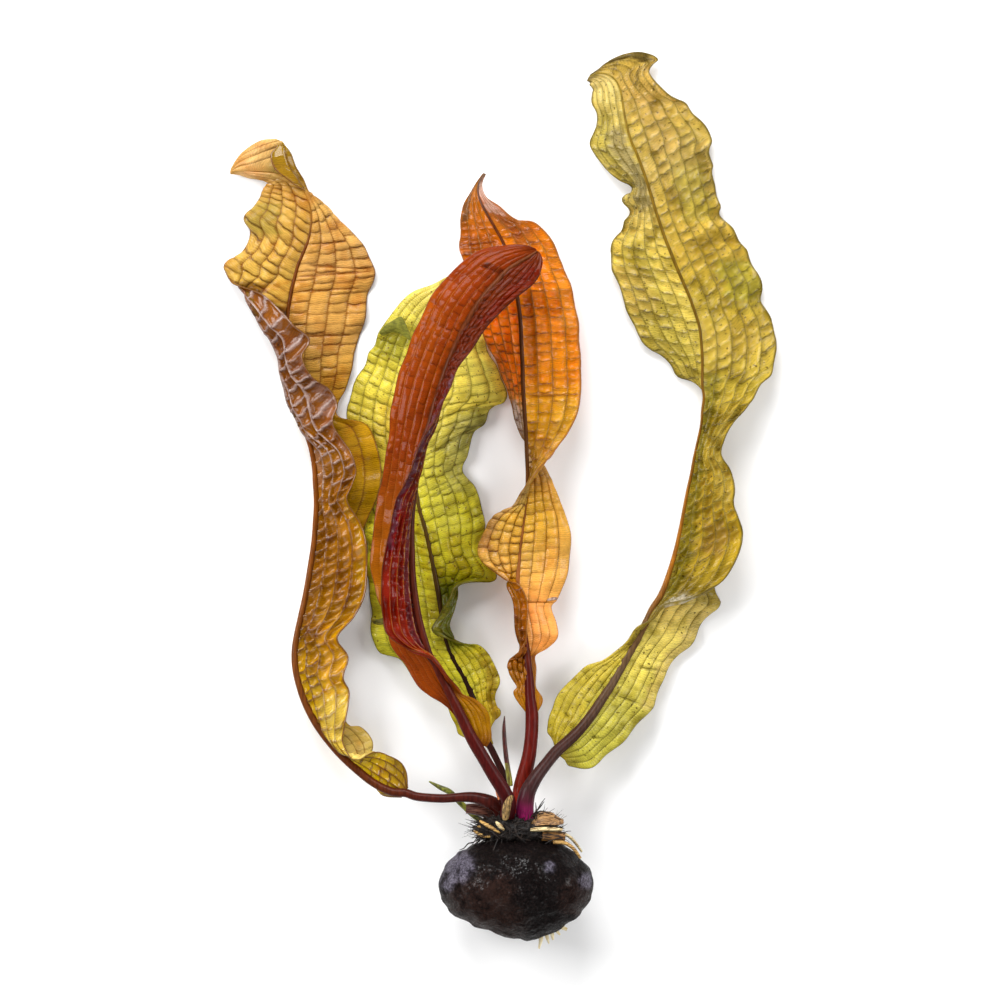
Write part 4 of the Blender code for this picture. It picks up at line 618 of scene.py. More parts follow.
@dataclass(frozen=True)
class LeafFinish:
    """Wet leaf skin: thin and partly see-through, so light glows in it, with a glossy film of water."""

    name: str
    vein: str
    crease: str
    rim: str
    speck: str = "#4A3408"
    glow: float = 0.30
    specular: float = 0.10
    roughness: float = 0.50
    film: float = 0.18
    film_roughness: float = 0.16
    vein_share: float = 0.035
    vein_strength: float = 0.55
    crease_share: float = 0.055
    crease_strength: float = 0.85
    # These set painted shade: how dark the colour is painted in the grooves and just below each cross crease, and the
    # colour and strength of that painted shade, which also tints the stains.
    groove_light: float = 0.58
    lower_side_light: float = 0.72
    richness: float = 1.04
    brightness: float = 0.84
    shade_and_stain_tint: str = "#CC8A48"
    shade_strength: float = 0.75
    stain_size: float = 0.0055
    stain_strength: float = 0.30
    striation_lines: float = 6.0
    striation_light: float = 0.10
    mottle_size: float = 0.0026
    speck_strength: float = 0.0

    def material(self, tint_name: str, line_name: str = "") -> bpy.types.Material:
        """Make the leaf's material from the names of the layers that hold its colours and its lines' colours."""
        material, tree, shader = new_material(self.name)
        spot = add_node(tree, "ShaderNodeTexCoord").outputs["Object"]
        mottle = add_node(tree, "ShaderNodeTexNoise", {"Vector": spot, "Scale": 1.0 / self.mottle_size,
                                                       "Detail": 5.0, "Roughness": 0.65}).outputs[0]
        fine = add_node(tree, "ShaderNodeTexNoise", {"Vector": spot, "Scale": 10.0 / self.mottle_size,
                                                     "Detail": 2.0}).outputs[0]
        cells = add_node(tree, "ShaderNodeUVMap", uv_map="cells").outputs[0]
        parts = add_node(tree, "ShaderNodeSeparateXYZ", {0: cells})
        across = plus(tree, parts.outputs[0], ranged(tree, mottle, 0.3, 0.7, -0.03, 0.03))
        along = plus(tree, parts.outputs[1], ranged(tree, fine, 0.3, 0.7, -0.05, 0.05))
        column = maths(tree, "FLOOR", parts.outputs[0])
        bold = add_node(tree, "ShaderNodeAttribute", attribute_name="bold").outputs[2]
        cell_hash = self.chance(tree, column, maths(tree, "FLOOR", parts.outputs[1]))
        spread = add_node(tree, "ShaderNodeAttribute", attribute_name="spread").outputs[2] if line_name else 1.0
        vein = self.line(tree, across, maths(tree, "SUBTRACT", 0.5, maths(tree, "MULTIPLY", spread, self.vein_share)))
        from_middle = maths(tree, "ABSOLUTE", maths(tree, "SUBTRACT", maths(tree, "FRACT", parts.outputs[0]), 0.5))
        width = maths(tree, "MULTIPLY", ranged(tree, bold, 0.2, 1.0, 0.5, 2.0), self.crease_share)
        width = maths(tree, "MULTIPLY", width, ranged(tree, from_middle, 0.1, 0.5, 1.15, 0.35))
        crease = self.line(tree, along, maths(tree, "SUBTRACT", 0.5, maths(tree, "MULTIPLY", spread, width)))
        crease = maths(tree, "MULTIPLY", crease, ranged(tree, bold, 0.15, 0.95, 0.0, self.crease_strength))
        crease = maths(tree, "MULTIPLY", crease, ranged(tree, from_middle, 0.35, 0.5, 1.0, 0.5))
        vein = maths(tree, "MULTIPLY", vein, self.vein_strength)
        waves = maths(tree, "MULTIPLY", parts.outputs[1], self.striation_lines * math.tau)
        lines = maths(tree, "SINE", plus(tree, waves, ranged(tree, mottle, 0.2, 0.8, -5.0, 5.0)))
        # Painted shade: the colour is painted darker in the pillows' grooves and just below each cross crease, where
        # less light falls.
        pillow = add_node(tree, "ShaderNodeAttribute", attribute_name="pillow").outputs[2]
        light = ranged(tree, pillow, 0.0, 0.80, self.groove_light, 1.06)
        shade = ranged(tree, maths(tree, "FRACT", along), 0.0, 0.34, 1.0 - self.lower_side_light, 0.0)
        light = maths(tree, "MULTIPLY", light, maths(tree, "SUBTRACT", 1.0, maths(tree, "MULTIPLY", shade, bold)))
        for value, low, high, spread in ((mottle, 0.3, 0.7, 0.10), (cell_hash, 0.0, 1.0, 0.05),
                                         (lines, -1.0, 1.0, self.striation_light)):
            light = maths(tree, "MULTIPLY", light, ranged(tree, value, low, high, 1.0 - spread, 1.0 + spread))
        tint = add_node(tree, "ShaderNodeAttribute", attribute_name=tint_name).outputs[0]
        stain = add_node(tree, "ShaderNodeTexNoise", {"Vector": spot, "Scale": 1.0 / self.stain_size,
                                                      "Detail": 3.0}).outputs[0]
        # Painted shade and real stains: both the darkest painted shade and the stains pull the colour towards the shade
        # tint.
        depth = plus(tree, ranged(tree, light, 0.50, 0.98, self.shade_strength, 0.0),
                     ranged(tree, stain, 0.48, 0.72, 0.0, self.stain_strength))
        tint = mixed(tree, "MULTIPLY", depth, tint, linear(self.shade_and_stain_tint))
        light = maths(tree, "MULTIPLY", light, self.brightness)
        colour = add_node(tree, "ShaderNodeHueSaturation", {"Color": tint, "Value": light,
                                                            "Saturation": self.richness}).outputs[0]
        crease_colour, vein_colour = linear(self.crease), linear(self.vein)
        # Line colours read from a layer can hold painted reflections on raised veins as well as the veins' own colours.
        if line_name:
            crease_colour = add_node(tree, "ShaderNodeAttribute", attribute_name=line_name).outputs[0]
            vein_colour = crease_colour
        colour = mixed(tree, "MIX", crease, colour, crease_colour)
        colour = mixed(tree, "MIX", vein, colour, vein_colour)
        if self.speck_strength:
            dots = add_node(tree, "ShaderNodeTexNoise", {"Vector": spot, "Scale": 1400.0, "Detail": 1.0}).outputs[0]
            speck = ranged(tree, dots, 0.66, 0.74, 0.0, self.speck_strength)
            colour = mixed(tree, "MIX", speck, colour, linear(self.speck))
        edge = add_node(tree, "ShaderNodeAttribute", attribute_name="edge").outputs[2]
        colour = mixed(tree, "MIX", ranged(tree, edge, 0.97, 1.0, 0.0, 0.75), colour, linear(self.rim))
        relief = plus(tree, maths(tree, "MULTIPLY", lines, 0.35), fine)
        bump = add_node(tree, "ShaderNodeBump", {"Height": relief, "Strength": 0.4, "Distance": 0.0003}).outputs[0]
        fill(tree, shader, {
            "Base Color": colour, "Roughness": self.roughness, "Coat Weight": self.film, "Normal": bump,
            "Coat Roughness": self.film_roughness, "Specular IOR Level": self.specular, "IOR": 1.45,
        })
        through = add_node(tree, "ShaderNodeBsdfTranslucent", {"Color": colour, "Normal": bump}).outputs[0]
        both = add_node(tree, "ShaderNodeMixShader", {0: self.glow, 1: shader.outputs[0], 2: through}).outputs[0]
        output = next(node for node in tree.nodes if node.type == "OUTPUT_MATERIAL")
        tree.links.new(both, output.inputs["Surface"])
        return material

    @staticmethod
    def line(tree: bpy.types.NodeTree, count: bpy.types.NodeSocket, start: object) -> bpy.types.NodeSocket:
        """Return a mask of thin lines where the count passes a whole number, a half away from start."""
        away = maths(tree, "ABSOLUTE", maths(tree, "SUBTRACT", maths(tree, "FRACT", count), 0.5))
        return ranged(tree, away, start, 0.5, 0.0, 1.0)

    @staticmethod
    def chance(tree: bpy.types.NodeTree, column: object, row: object) -> bpy.types.NodeSocket:
        """Return a random number that belongs to a column and row of cells."""
        key = add_node(tree, "ShaderNodeCombineXYZ", {0: column, 1: row, 2: 0.5}).outputs[0]
        return add_node(tree, "ShaderNodeTexWhiteNoise", {"Vector": key}).outputs["Value"]


@dataclass(frozen=True)
class StalkFinish:
    """Smooth wet plant skin, striped lengthwise, with the colour that the stalk has at each place."""

    name: str
    roughness: float = 0.42
    specular: float = 0.05
    film: float = 0.10
    stripe_size: float = 0.0005

    def material(self) -> bpy.types.Material:
        """Make the stalk's material."""
        material, tree, shader = new_material(self.name)
        tint = add_node(tree, "ShaderNodeAttribute", attribute_name="tint").outputs[0]
        spot = add_node(tree, "ShaderNodeTexCoord").outputs["Object"]
        drawn = add_node(tree, "ShaderNodeMapping", {0: spot, 3: (1.0, 0.12, 1.0)}).outputs[0]
        stripes = add_node(tree, "ShaderNodeTexNoise", {"Vector": drawn, "Scale": 1.0 / self.stripe_size,
                                                        "Detail": 3.0}).outputs[0]
        light = ranged(tree, stripes, 0.3, 0.7, 0.72, 1.28)
        colour = add_node(tree, "ShaderNodeHueSaturation", {"Color": tint, "Value": light}).outputs[0]
        bump = add_node(tree, "ShaderNodeBump", {"Height": stripes, "Strength": 0.3, "Distance": 0.0002}).outputs[0]
        tree.links.new(colour, shader.inputs["Base Color"])
        tree.links.new(bump, shader.inputs["Normal"])
        shader.inputs["Roughness"].default_value = self.roughness
        shader.inputs["Specular IOR Level"].default_value = self.specular
        shader.inputs["Coat Weight"].default_value = self.film
        shader.inputs["Coat Roughness"].default_value = 0.12
        return material


@dataclass(frozen=True)
class BarkFinish:
    """Dry or wet plant matter in two colours that are blotched together, rough where it is dry."""

    name: str
    dark: str
    light: str
    blotch_size: float
    roughness: float
    film: float = 0.0
    relief: float = 0.0002
    stretch: tuple = (1.0, 1.0, 1.0)
    specular: float = 0.25

    def material(self) -> bpy.types.Material:
        """Make the material."""
        material, tree, shader = new_material(self.name)
        spot = add_node(tree, "ShaderNodeTexCoord").outputs["Object"]
        drawn = add_node(tree, "ShaderNodeMapping", {0: spot, 3: self.stretch}).outputs[0]
        blotch = add_node(tree, "ShaderNodeTexNoise", {"Vector": drawn, "Scale": 1.0 / self.blotch_size,
                                                       "Detail": 6.0, "Roughness": 0.65}).outputs[0]
        share = ranged(tree, blotch, 0.38, 0.62, 0.0, 1.0)
        colour = mixed(tree, "MIX", share, linear(self.dark), linear(self.light))
        bump = add_node(tree, "ShaderNodeBump", {"Height": blotch, "Strength": 0.6, "Distance": self.relief}).outputs[0]
        tree.links.new(colour, shader.inputs["Base Color"])
        tree.links.new(bump, shader.inputs["Normal"])
        shader.inputs["Roughness"].default_value = self.roughness
        shader.inputs["Coat Weight"].default_value = self.film
        shader.inputs["Coat Roughness"].default_value = 0.15
        shader.inputs["Specular IOR Level"].default_value = self.specular
        return material


@dataclass(frozen=True)
class Crease:
    """A long crease across one half: where it starts, how it slopes, and its depth and width in mm.

    start and end are shares of the half's width from the midrib, and slope is in mm along the leaf
    for each mm away from the midrib.
    """

    side: Side
    station: float
    slope: float = 0.0
    start: float = 0.0
    end: float = 1.0
    depth: float = 0.5
    width: float = 0.45


@dataclass(frozen=True)
class Patch:
    """A soft-edged patch of another colour on one half, between two stations and two shares of its width. Some patches
    are the leaf's own colour; others are painted shade, painted highlights or painted reflections.
    """

    side: Side
    start: float
    end: float
    inner: float
    outer: float
    colour: str
    strength: float = 0.8
    under: bool = False

    def cover(self, positions: np.ndarray, share: np.ndarray) -> np.ndarray:
        """Return how much of the patch shows at each place, from 0 to its strength."""
        along = np.clip((positions - self.start) / 0.6 + 0.5, 0, 1) * np.clip((self.end - positions) / 0.6 + 0.5, 0, 1)
        across = np.clip((share - self.inner) / 0.12 + 0.5, 0, 1) * np.clip((self.outer - share) / 0.12 + 0.5, 0, 1)
        return along * across * self.strength


@dataclass
class Leaf:
    """One leaf: a wavy blade quilted between its veins, and a stalk that runs on as its midrib.

    folds holds the places through which the middle of a half passes at some stations, where it
    lies folded. quilts holds stops of a station and how high the pillows of each half stand, in
    mm. tints and undersides hold stops of a station and each half's colour, for the upper and the
    lower side. cross holds stops of a station and how strongly the cross creases show there: on
    the left half beside the midrib and at the edge, then on the right half. spine holds stops of a
    share of the way from the crown to the tip, and the stalk's colour there.
    """

    name: str
    stations: tuple
    stalk_route: tuple
    settle: float
    veins: int
    pitch: float
    slants: tuple
    quilts: tuple
    tints: tuple
    spine: tuple
    midrib_radii: tuple
    finish: LeafFinish
    under_finish: LeafFinish
    undersides: tuple = ()
    # Colours of the underside's veins and creases: partly their own colour, partly painted reflections on the raised
    # veins.
    under_lines_and_sheen: tuple = ()
    folds: tuple = ()
    creases: tuple = ()
    patches: tuple = ()
    cross: tuple = ((0.0, 1.0, 1.0, 1.0, 1.0),)
    spine_lift: float = 0.0
    ripple: float = 0.5
    ripple_length: float = 11.0
    quilt_gain: float = 2.5
    crumple: float = 0.24
    crumple_size: float = 5.0
    cell_jitter: float = 0.4
    column_offset: float = 0.2
    crease_floor: float = 0.42
    vein_dip: float = 0.80
    line_widths: tuple = ()
    columns_per_cell: int = 10
    row_spacing: float = 0.00033
    thickness: float = 0.00024
    lowest: float = 0.0003
    settled_station: float = 8.0
    turn_weight: float = 2.0
    turn_reach: float = 0.004
    samples_per_station: int = 40

    def settled(self, spots: np.ndarray) -> np.ndarray:
        """Lower places, one for each station, onto what the leaf lies on."""
        steps = np.minimum(np.arange(len(spots)) / self.settled_station, 1.0)
        spots[:, 2] -= self.settle * MM * steps
        return spots

    def line(self, part: int) -> np.ndarray:
        """Return a line of places, the midrib or an edge."""
        return self.settled(np.array([place(*station[part]) for station in self.stations]))

    def middles(self, side: Side) -> np.ndarray:
        """Return the places through which the middle of a half passes."""
        part = 1 if side is Side.LEFT else 3
        spine = self.line(0)
        across = self.line(part) - spine
        bow = np.array([station[part + 1] for station in self.stations]) * MM
        outwards = unit(np.cross(unit(np.gradient(spine, axis=0)), across) * -side.value)
        middles = spine + across * 0.5 + outwards * bow[:, None]
        levels = self.settled(np.zeros((len(spine), 3)))
        for fold_side, station, spot in self.folds:
            if fold_side is side:
                middles[station] = np.array(place(*spot)) + levels[station]
        return middles

    def row_positions(self) -> np.ndarray:
        """Return the positions of the blade's rows, closer together where the blade turns over."""
        last = len(self.stations) - 1
        samples = np.linspace(0.0, last, self.samples_per_station * last + 1)
        spine = smooth_curve(self.line(0), samples)
        steps = np.linalg.norm(np.diff(spine, axis=0), axis=1)
        for ends in (self.line(1), self.line(3), self.middles(Side.LEFT), self.middles(Side.RIGHT)):
            half = smooth_curve(ends, samples) - spine
            turn = np.linalg.norm(np.diff(unit(half), axis=0), axis=1)
            steps = steps + self.turn_weight * 0.5 * turn * np.minimum(
                np.linalg.norm(half[1:], axis=1), self.turn_reach)
        lengths = np.concatenate(([0.0], np.cumsum(steps)))
        count = int(lengths[-1] / self.row_spacing) + 1
        return np.interp(np.linspace(0.0, lengths[-1], count), lengths, samples)

    def half(self, side: Side, positions: np.ndarray, midrib: np.ndarray) -> np.ndarray:
        """Return the places of one half, from the midrib outwards, for each row."""
        edge = smooth_curve(self.line(1 if side is Side.LEFT else 3), positions)
        middle = smooth_curve(self.middles(side), positions)
        shares = np.linspace(0.0, 1.0, self.veins * self.columns_per_cell + 1)[None, :, None]
        bend = middle - (midrib + edge) * 0.5
        return midrib[:, None] + (edge - midrib)[:, None] * shares + 4.0 * shares * (1.0 - shares) * bend[:, None]

    def cross_count(self, side: Side, veins: np.ndarray, lengths: np.ndarray, distances: np.ndarray,
                    cell: np.ndarray) -> np.ndarray:
        """Count the cross veins passed on the way along a column of cells, with a natural wander.

        Args:
            side: The half.
            veins: The count of veins from the midrib.
            lengths: The length along the midrib, in mm.
            distances: The distance from the midrib, in mm.
            cell: The number of the column of cells.

        Returns:
            A count that passes a whole number at each cross vein.
        """
        slant = self.slants[0 if side is Side.LEFT else 1]
        sign = np.full_like(cell, float(side.value))
        inside = veins - cell
        count = (lengths - slant * distances) / self.pitch + self.column_offset * scatter(cell, sign)
        count = count + 0.22 * np.sin(0.17 * lengths + 1.1 * cell) + 0.03 * np.sin(9.0 * inside + 0.9 * lengths)
        count = count + 0.07 * (1.0 - (2.0 * inside - 1.0) ** 2)
        low = np.floor(count)
        low = np.where(count < low + self.shift(cell, low, sign), low - 1.0, low)
        low = np.where(count >= low + 1.0 + self.shift(cell, low + 1.0, sign), low + 1.0, low)
        start = low + self.shift(cell, low, sign)
        end = low + 1.0 + self.shift(cell, low + 1.0, sign)
        return low + np.clip((count - start) / (end - start), 0.0, 0.9999)

    def shift(self, cell: np.ndarray, number: np.ndarray, sign: np.ndarray) -> np.ndarray:
        """Return how far a cross vein lies off its even place."""
        return self.cell_jitter * (scatter(cell, number, sign) - 0.5)

    def presence(self, positions: np.ndarray, signed: np.ndarray) -> np.ndarray:
        """Return how strongly cross creases show at each place, from 0 to 1."""
        marks = [stop[0] for stop in self.cross]
        share = np.abs(signed)[None, :] / self.veins
        shown = np.zeros((len(positions), len(signed)))
        for side in Side:
            part = 1 if side is Side.LEFT else 3
            inner = np.interp(positions, marks, [stop[part] for stop in self.cross])[:, None]
            outer = np.interp(positions, marks, [stop[part + 1] for stop in self.cross])[:, None]
            here = np.sign(signed)[None, :] == side.value
            shown = np.where(here, inner + (outer - inner) * share, shown)
        return shown

    def pillows(self, positions: np.ndarray, lengths: np.ndarray, signed: np.ndarray,
                distances: np.ndarray) -> tuple[np.ndarray, np.ndarray, np.ndarray]:
        """Work out the pillows between the veins.

        Args:
            positions: Each row's position, counted in stations.
            lengths: Each row's length along the midrib, in mm.
            signed: Each column's count of veins from the midrib, negative on the left.
            distances: Each place's distance from the midrib, in mm.

        Returns:
            How full the pillow is at each place, from 0 in its creases to 1, its height in mm, and
            how bold the nearest cross crease is, from 0 to 1.
        """
        veins = np.abs(signed)[None, :] + np.zeros_like(distances)
        cell = np.minimum(np.floor(veins), self.veins - 1)
        inside = veins - cell
        marks = [stop[0] for stop in self.quilts]
        shown = self.presence(positions, signed)
        pillow = np.zeros_like(distances)
        height = np.zeros_like(distances)
        boldness = np.zeros_like(distances)
        for side in Side:
            crossed = self.cross_count(side, veins, lengths, distances, cell)
            key = np.full_like(cell, float(side.value))
            chance = scatter(cell, np.round(crossed), key + 5.0)
            bold = shown * (self.crease_floor + (1.0 - self.crease_floor) * chance)
            share = np.mod(crossed, 1.0) ** 0.70
            dip = np.abs(2.0 * share - 1.0) ** 2.8 * np.minimum(bold * 1.3, 1.0)
            full = (1.0 - np.abs(2.0 * inside - 1.0) ** 3.5) * (1.0 - dip)
            low = np.floor(crossed)
            ease = share * share * (3.0 - 2.0 * share)
            strength = 0.45 + 0.80 * (scatter(cell, low, key + 3.0) * (1.0 - ease)
                                      + scatter(cell, low + 1.0, key + 3.0) * ease)
            part = 1 if side is Side.LEFT else 2
            rise = np.interp(positions, marks, [stop[part] for stop in self.quilts])[:, None]
            here = np.broadcast_to(np.sign(signed)[None, :] == side.value, pillow.shape)
            soft = (1.0 - self.vein_dip * np.abs(2.0 * inside - 1.0) ** 3.5) * (1.0 - dip)
            pillow = np.where(here, soft, pillow)
            boldness = np.where(here, bold, boldness)
            height = np.where(here, full * strength * rise * self.quilt_gain, height)
        return pillow, height, boldness

    def crumples(self, lengths: np.ndarray, signed: np.ndarray) -> np.ndarray:
        """Return a gentle unevenness of the whole blade, from about -1 to 1."""
        return np.array([
            [noise.noise(Vector((vein * 0.9, length / self.crumple_size, len(self.name)))) for vein in signed]
            for length in lengths[:, 0]
        ]) * 2.0

    def blade(self) -> None:
        """Make the blade as its two halves."""
        positions = self.row_positions()
        midrib = smooth_curve(self.line(0), positions)
        left = self.half(Side.LEFT, positions, midrib)
        right = self.half(Side.RIGHT, positions, midrib)
        spots = np.concatenate((left[:, :0:-1], right), axis=1)
        steps = np.linalg.norm(np.diff(midrib, axis=0), axis=1)
        lengths = np.concatenate(([0.0], np.cumsum(steps)))[:, None] / MM
        count = self.veins * self.columns_per_cell
        signed = np.arange(-count, count + 1) / self.columns_per_cell
        gaps = np.linalg.norm(np.diff(spots, axis=1), axis=2) / MM
        zero = np.zeros((len(spots), 1))
        away_left = np.cumsum(np.concatenate((zero, gaps[:, count - 1::-1]), axis=1), axis=1)
        away_right = np.cumsum(gaps[:, count:], axis=1)
        distances = np.concatenate((away_left[:, ::-1], away_right), axis=1)
        width = np.where(signed[None, :] < 0, distances[:, :1], distances[:, -1:])
        middle = np.broadcast_to(np.abs(signed)[None, :] / self.veins, distances.shape)
        facing = unit(np.cross(np.gradient(spots, axis=1), np.gradient(spots, axis=0)))
        pillow, height, bold = self.pillows(positions, lengths, signed, distances)
        room = np.clip(width / 5.0, 0.0, 1.0)
        ripple = self.ripple * room * middle ** 2 * np.sin(
            math.tau * lengths / self.ripple_length + np.sign(signed) * 1.3 + 0.9 * np.sin(0.13 * lengths))
        height = height * room * np.clip(middle * self.veins * 3.0, 0.0, 1.0) + ripple
        height = height + self.crumple * room * np.minimum(middle * 3.0, 1.0) * self.crumples(lengths, signed)
        for crease in self.creases:
            at = np.interp(crease.station, positions, lengths[:, 0])
            off = (lengths - at - crease.slope * distances) / crease.width
            inside = np.clip((middle - crease.start) * 12.0, 0.0, 1.0) * np.clip((crease.end - middle) * 12.0, 0.0, 1.0)
            inside = np.where(np.sign(signed)[None, :] == crease.side.value, inside, 0.0) * np.exp(-off ** 2)
            height = height - crease.depth * inside
            pillow = pillow * (1.0 - inside)
        spots = spots + facing * (height * MM)[:, :, None]
        spots[:, :, 2] = np.maximum(spots[:, :, 2], self.lowest)
        for side in Side:
            columns = slice(0, count + 1) if side is Side.LEFT else slice(count, 2 * count + 1)
            self.half_blade(side, positions, spots[:, columns], lengths, signed[columns], distances[:, columns],
                            {"pillow": pillow[:, columns], "bold": bold[:, columns]})

    def painted(self, tints: np.ndarray, side: Side, positions: np.ndarray, signed: np.ndarray,
                under: bool) -> np.ndarray:
        """Blend a half's patches into its colours.

        Args:
            tints: A colour for each row.
            side: The half.
            positions: Each row's position, counted in stations.
            signed: Each column's count of veins from the midrib.
            under: Whether the colours are the lower side's.

        Returns:
            A colour for each row and column.
        """
        colours = np.repeat(tints[:, None, :], len(signed), axis=1)
        share = np.abs(signed)[None, :] / self.veins
        wander = 0.05 * np.sin(5.0 * positions[:, None] + 3.0 * share) + 0.03 * np.sin(13.0 * positions[:, None])
        for patch in self.patches:
            if patch.side is side and (patch.under is under or not self.undersides):
                cover = patch.cover(positions[:, None] + 4.0 * wander, share + wander)[:, :, None]
                colours = colours * (1.0 - cover) + np.array(linear(patch.colour)) * cover
        return colours

    def half_blade(self, side: Side, positions: np.ndarray, spots: np.ndarray, lengths: np.ndarray,
                   signed: np.ndarray, distances: np.ndarray, layers: dict) -> None:
        """Make one half of the blade from its places and the layers its finish reads."""
        name = f"{self.name}_blade_{side.name.lower()}"
        mesh = self.sheet(name, side, spots, lengths, signed, distances)
        part = 1 if side is Side.LEFT else 2
        for layer, stops in (("tint", self.tints), ("tint_under", self.undersides or self.tints),
                             ("line_and_sheen_under", self.under_lines_and_sheen)):
            if not stops:
                continue
            tints = stops_between(stops, positions, part)
            tints = self.painted(tints, side, positions, signed, layer != "tint")
            store(mesh, layer, tints.reshape(-1, 4))
        if self.line_widths:
            widths = np.interp(positions, *np.array([(stop[0], stop[part]) for stop in self.line_widths]).T)
            store(mesh, "spread", np.broadcast_to(widths[:, None], distances.shape).ravel())
        for layer, values in layers.items():
            store(mesh, layer, values.ravel())
        store(mesh, "edge", np.broadcast_to(np.abs(signed) / self.veins, distances.shape).ravel())
        shape = mesh_object(name, mesh)
        under = self.under_finish.material("tint_under", "line_and_sheen_under" if self.under_lines_and_sheen else "")
        dress(shape, self.name, self.finish.material("tint"), under)
        wall = shape.modifiers.new("thickness", "SOLIDIFY")
        wall.thickness = self.thickness
        wall.offset = 0.0
        wall.material_offset = 1

    def sheet(self, name: str, side: Side, spots: np.ndarray, lengths: np.ndarray, signed: np.ndarray,
              distances: np.ndarray) -> bpy.types.Mesh:
        """Make a half's sheet from a grid that is moved to its places, with its map of cells."""
        rows, columns = spots.shape[:2]
        grid = bmesh.new()
        bmesh.ops.create_grid(grid, x_segments=columns - 1, y_segments=rows - 1, size=1.0)
        mesh = bpy.data.meshes.new(name)
        grid.to_mesh(mesh)
        grid.free()
        mesh.vertices.foreach_set("co", spots.astype(np.float32).ravel())
        corners = np.empty(len(mesh.loops), dtype=np.int32)
        mesh.loops.foreach_get("vertex_index", corners)
        row, column = np.divmod(corners.reshape(-1, 4), columns)
        veins = np.abs(signed)[column]
        cell = np.floor(veins.mean(axis=1, keepdims=True)) + np.zeros_like(veins)
        crossed = self.cross_count(side, veins, lengths[row, 0], distances[row, column], cell)
        cells = np.stack((veins * side.value, crossed), axis=-1).astype(np.float32)
        layer = mesh.uv_layers.new(name="cells")
        layer.data.foreach_set("uv", cells.ravel())
        mesh.update()
        return mesh

    def stalk(self) -> bpy.types.Object:
        """Make the stalk, which runs on along the blade as its midrib."""
        route = np.array([place(*stop[:3]) for stop in self.stalk_route])
        radii = np.array([stop[3] for stop in self.stalk_route]) * MM
        spine = self.line(0)
        spine[:, 2] += self.spine_lift * MM
        shares = np.linspace(0.0, 1.0, len(spine))
        marks = np.linspace(0.0, 1.0, len(self.midrib_radii) + 1)
        ribs = np.interp(shares, marks, (radii[-1] / MM, *self.midrib_radii)) * MM
        route = np.concatenate((route, spine))
        radii = np.concatenate((radii, ribs))
        positions = np.linspace(0.0, len(route) - 1, 5 * len(route))
        places = smooth_curve(route, positions)
        places[:, 2] = np.maximum(places[:, 2], self.lowest)
        mesh = tube_mesh(f"{self.name}_stalk", [(places, smooth_curve(radii, positions))], 14)
        spots = mesh_points(mesh)
        near = np.array([np.argmin(((places - spot) ** 2).sum(axis=1)) for spot in spots])
        store(mesh, "tint", stops_between(self.spine, near / (len(places) - 1), 1))
        shape = mesh_object(f"{self.name}_stalk", mesh)
        dress(shape, self.name, StalkFinish(f"wet stalk skin of {self.name}").material())
        return shape

    def build(self) -> None:
        """Make the leaf's two pieces."""
        self.blade()
        self.stalk()


@dataclass(frozen=True)
class TuberFinish:
    """Wet tuber bark: near-black and gritty, rubbed brown in places, with painted grey-lilac reflections of the
    softboxes and small wet glints; one brown place on the right is a painted reflection too.
    """

    name: str = "wet tuber bark"
    skin: str = "#090606"
    grit: str = "#1C1413"
    worn_and_sheen: str = "#2C1C17"
    painted_sheen: str = "#767080"
    worn_and_sheen_places: tuple = ((480, 902, 13.0), (496, 922, 12.0), (580, 898, 9.0), (500, 886, 7.0))
    painted_sheen_places: tuple = ((459, 865, 6.6), (586, 880, 3.4), (550, 866, 2.6), (447, 882, 3.4))

    def material(self) -> bpy.types.Material:
        """Make the material."""
        material, tree, shader = new_material(self.name)
        spot = add_node(tree, "ShaderNodeTexCoord").outputs["Object"]
        grit = add_node(tree, "ShaderNodeTexNoise", {"Vector": spot, "Scale": 1700.0, "Detail": 6.0,
                                                     "Roughness": 0.7}).outputs[0]
        blotch = add_node(tree, "ShaderNodeTexNoise", {"Vector": spot, "Scale": 330.0, "Detail": 5.0,
                                                       "Roughness": 0.6}).outputs[0]
        colour = mixed(tree, "MIX", ranged(tree, grit, 0.42, 0.66, 0.0, 1.0), linear(self.skin), linear(self.grit))
        flat = add_node(tree, "ShaderNodeMapping", {0: spot, 3: (1.0, 1.0, 0.0)}).outputs[0]
        # The first places are rubbed brown skin, except the one on the right, which is a painted reflection. The second
        # places are painted grey-lilac reflections.
        for places, tint, strength in ((self.worn_and_sheen_places, self.worn_and_sheen, 0.95), (self.painted_sheen_places, self.painted_sheen, 0.7)):
            for column, row, reach in places:
                middle = tuple(place(column, row, 0.0))
                away = add_node(tree, "ShaderNodeVectorMath", {0: flat, 1: middle}, operation="DISTANCE")
                near = ranged(tree, away.outputs["Value"], 0.0, reach * MM, 1.0, 0.0)
                near = maths(tree, "MULTIPLY", near, ranged(tree, blotch, 0.30, 0.64, 0.35, 1.7))
                ragged = maths(tree, "MULTIPLY", ranged(tree, near, 0.1, 0.9, 0.0, strength),
                               ranged(tree, grit, 0.40, 0.62, 0.3, 1.0))
                colour = mixed(tree, "MIX", ragged, colour, linear(tint))
        fine = add_node(tree, "ShaderNodeTexNoise", {"Vector": spot, "Scale": 4200.0, "Detail": 2.0}).outputs[0]
        wet = maths(tree, "MULTIPLY", ranged(tree, blotch, 0.40, 0.60, 0.05, 0.5), ranged(tree, fine, 0.50, 0.60, 0.08, 1.0))
        bump = add_node(tree, "ShaderNodeBump", {"Height": grit, "Strength": 1.0, "Distance": 0.0006}).outputs[0]
        fill(tree, shader, {
            "Base Color": colour, "Roughness": 0.6, "Specular IOR Level": 0.03, "Normal": bump,
            "Coat Weight": wet, "Coat Roughness": 0.12,
        })
        return material


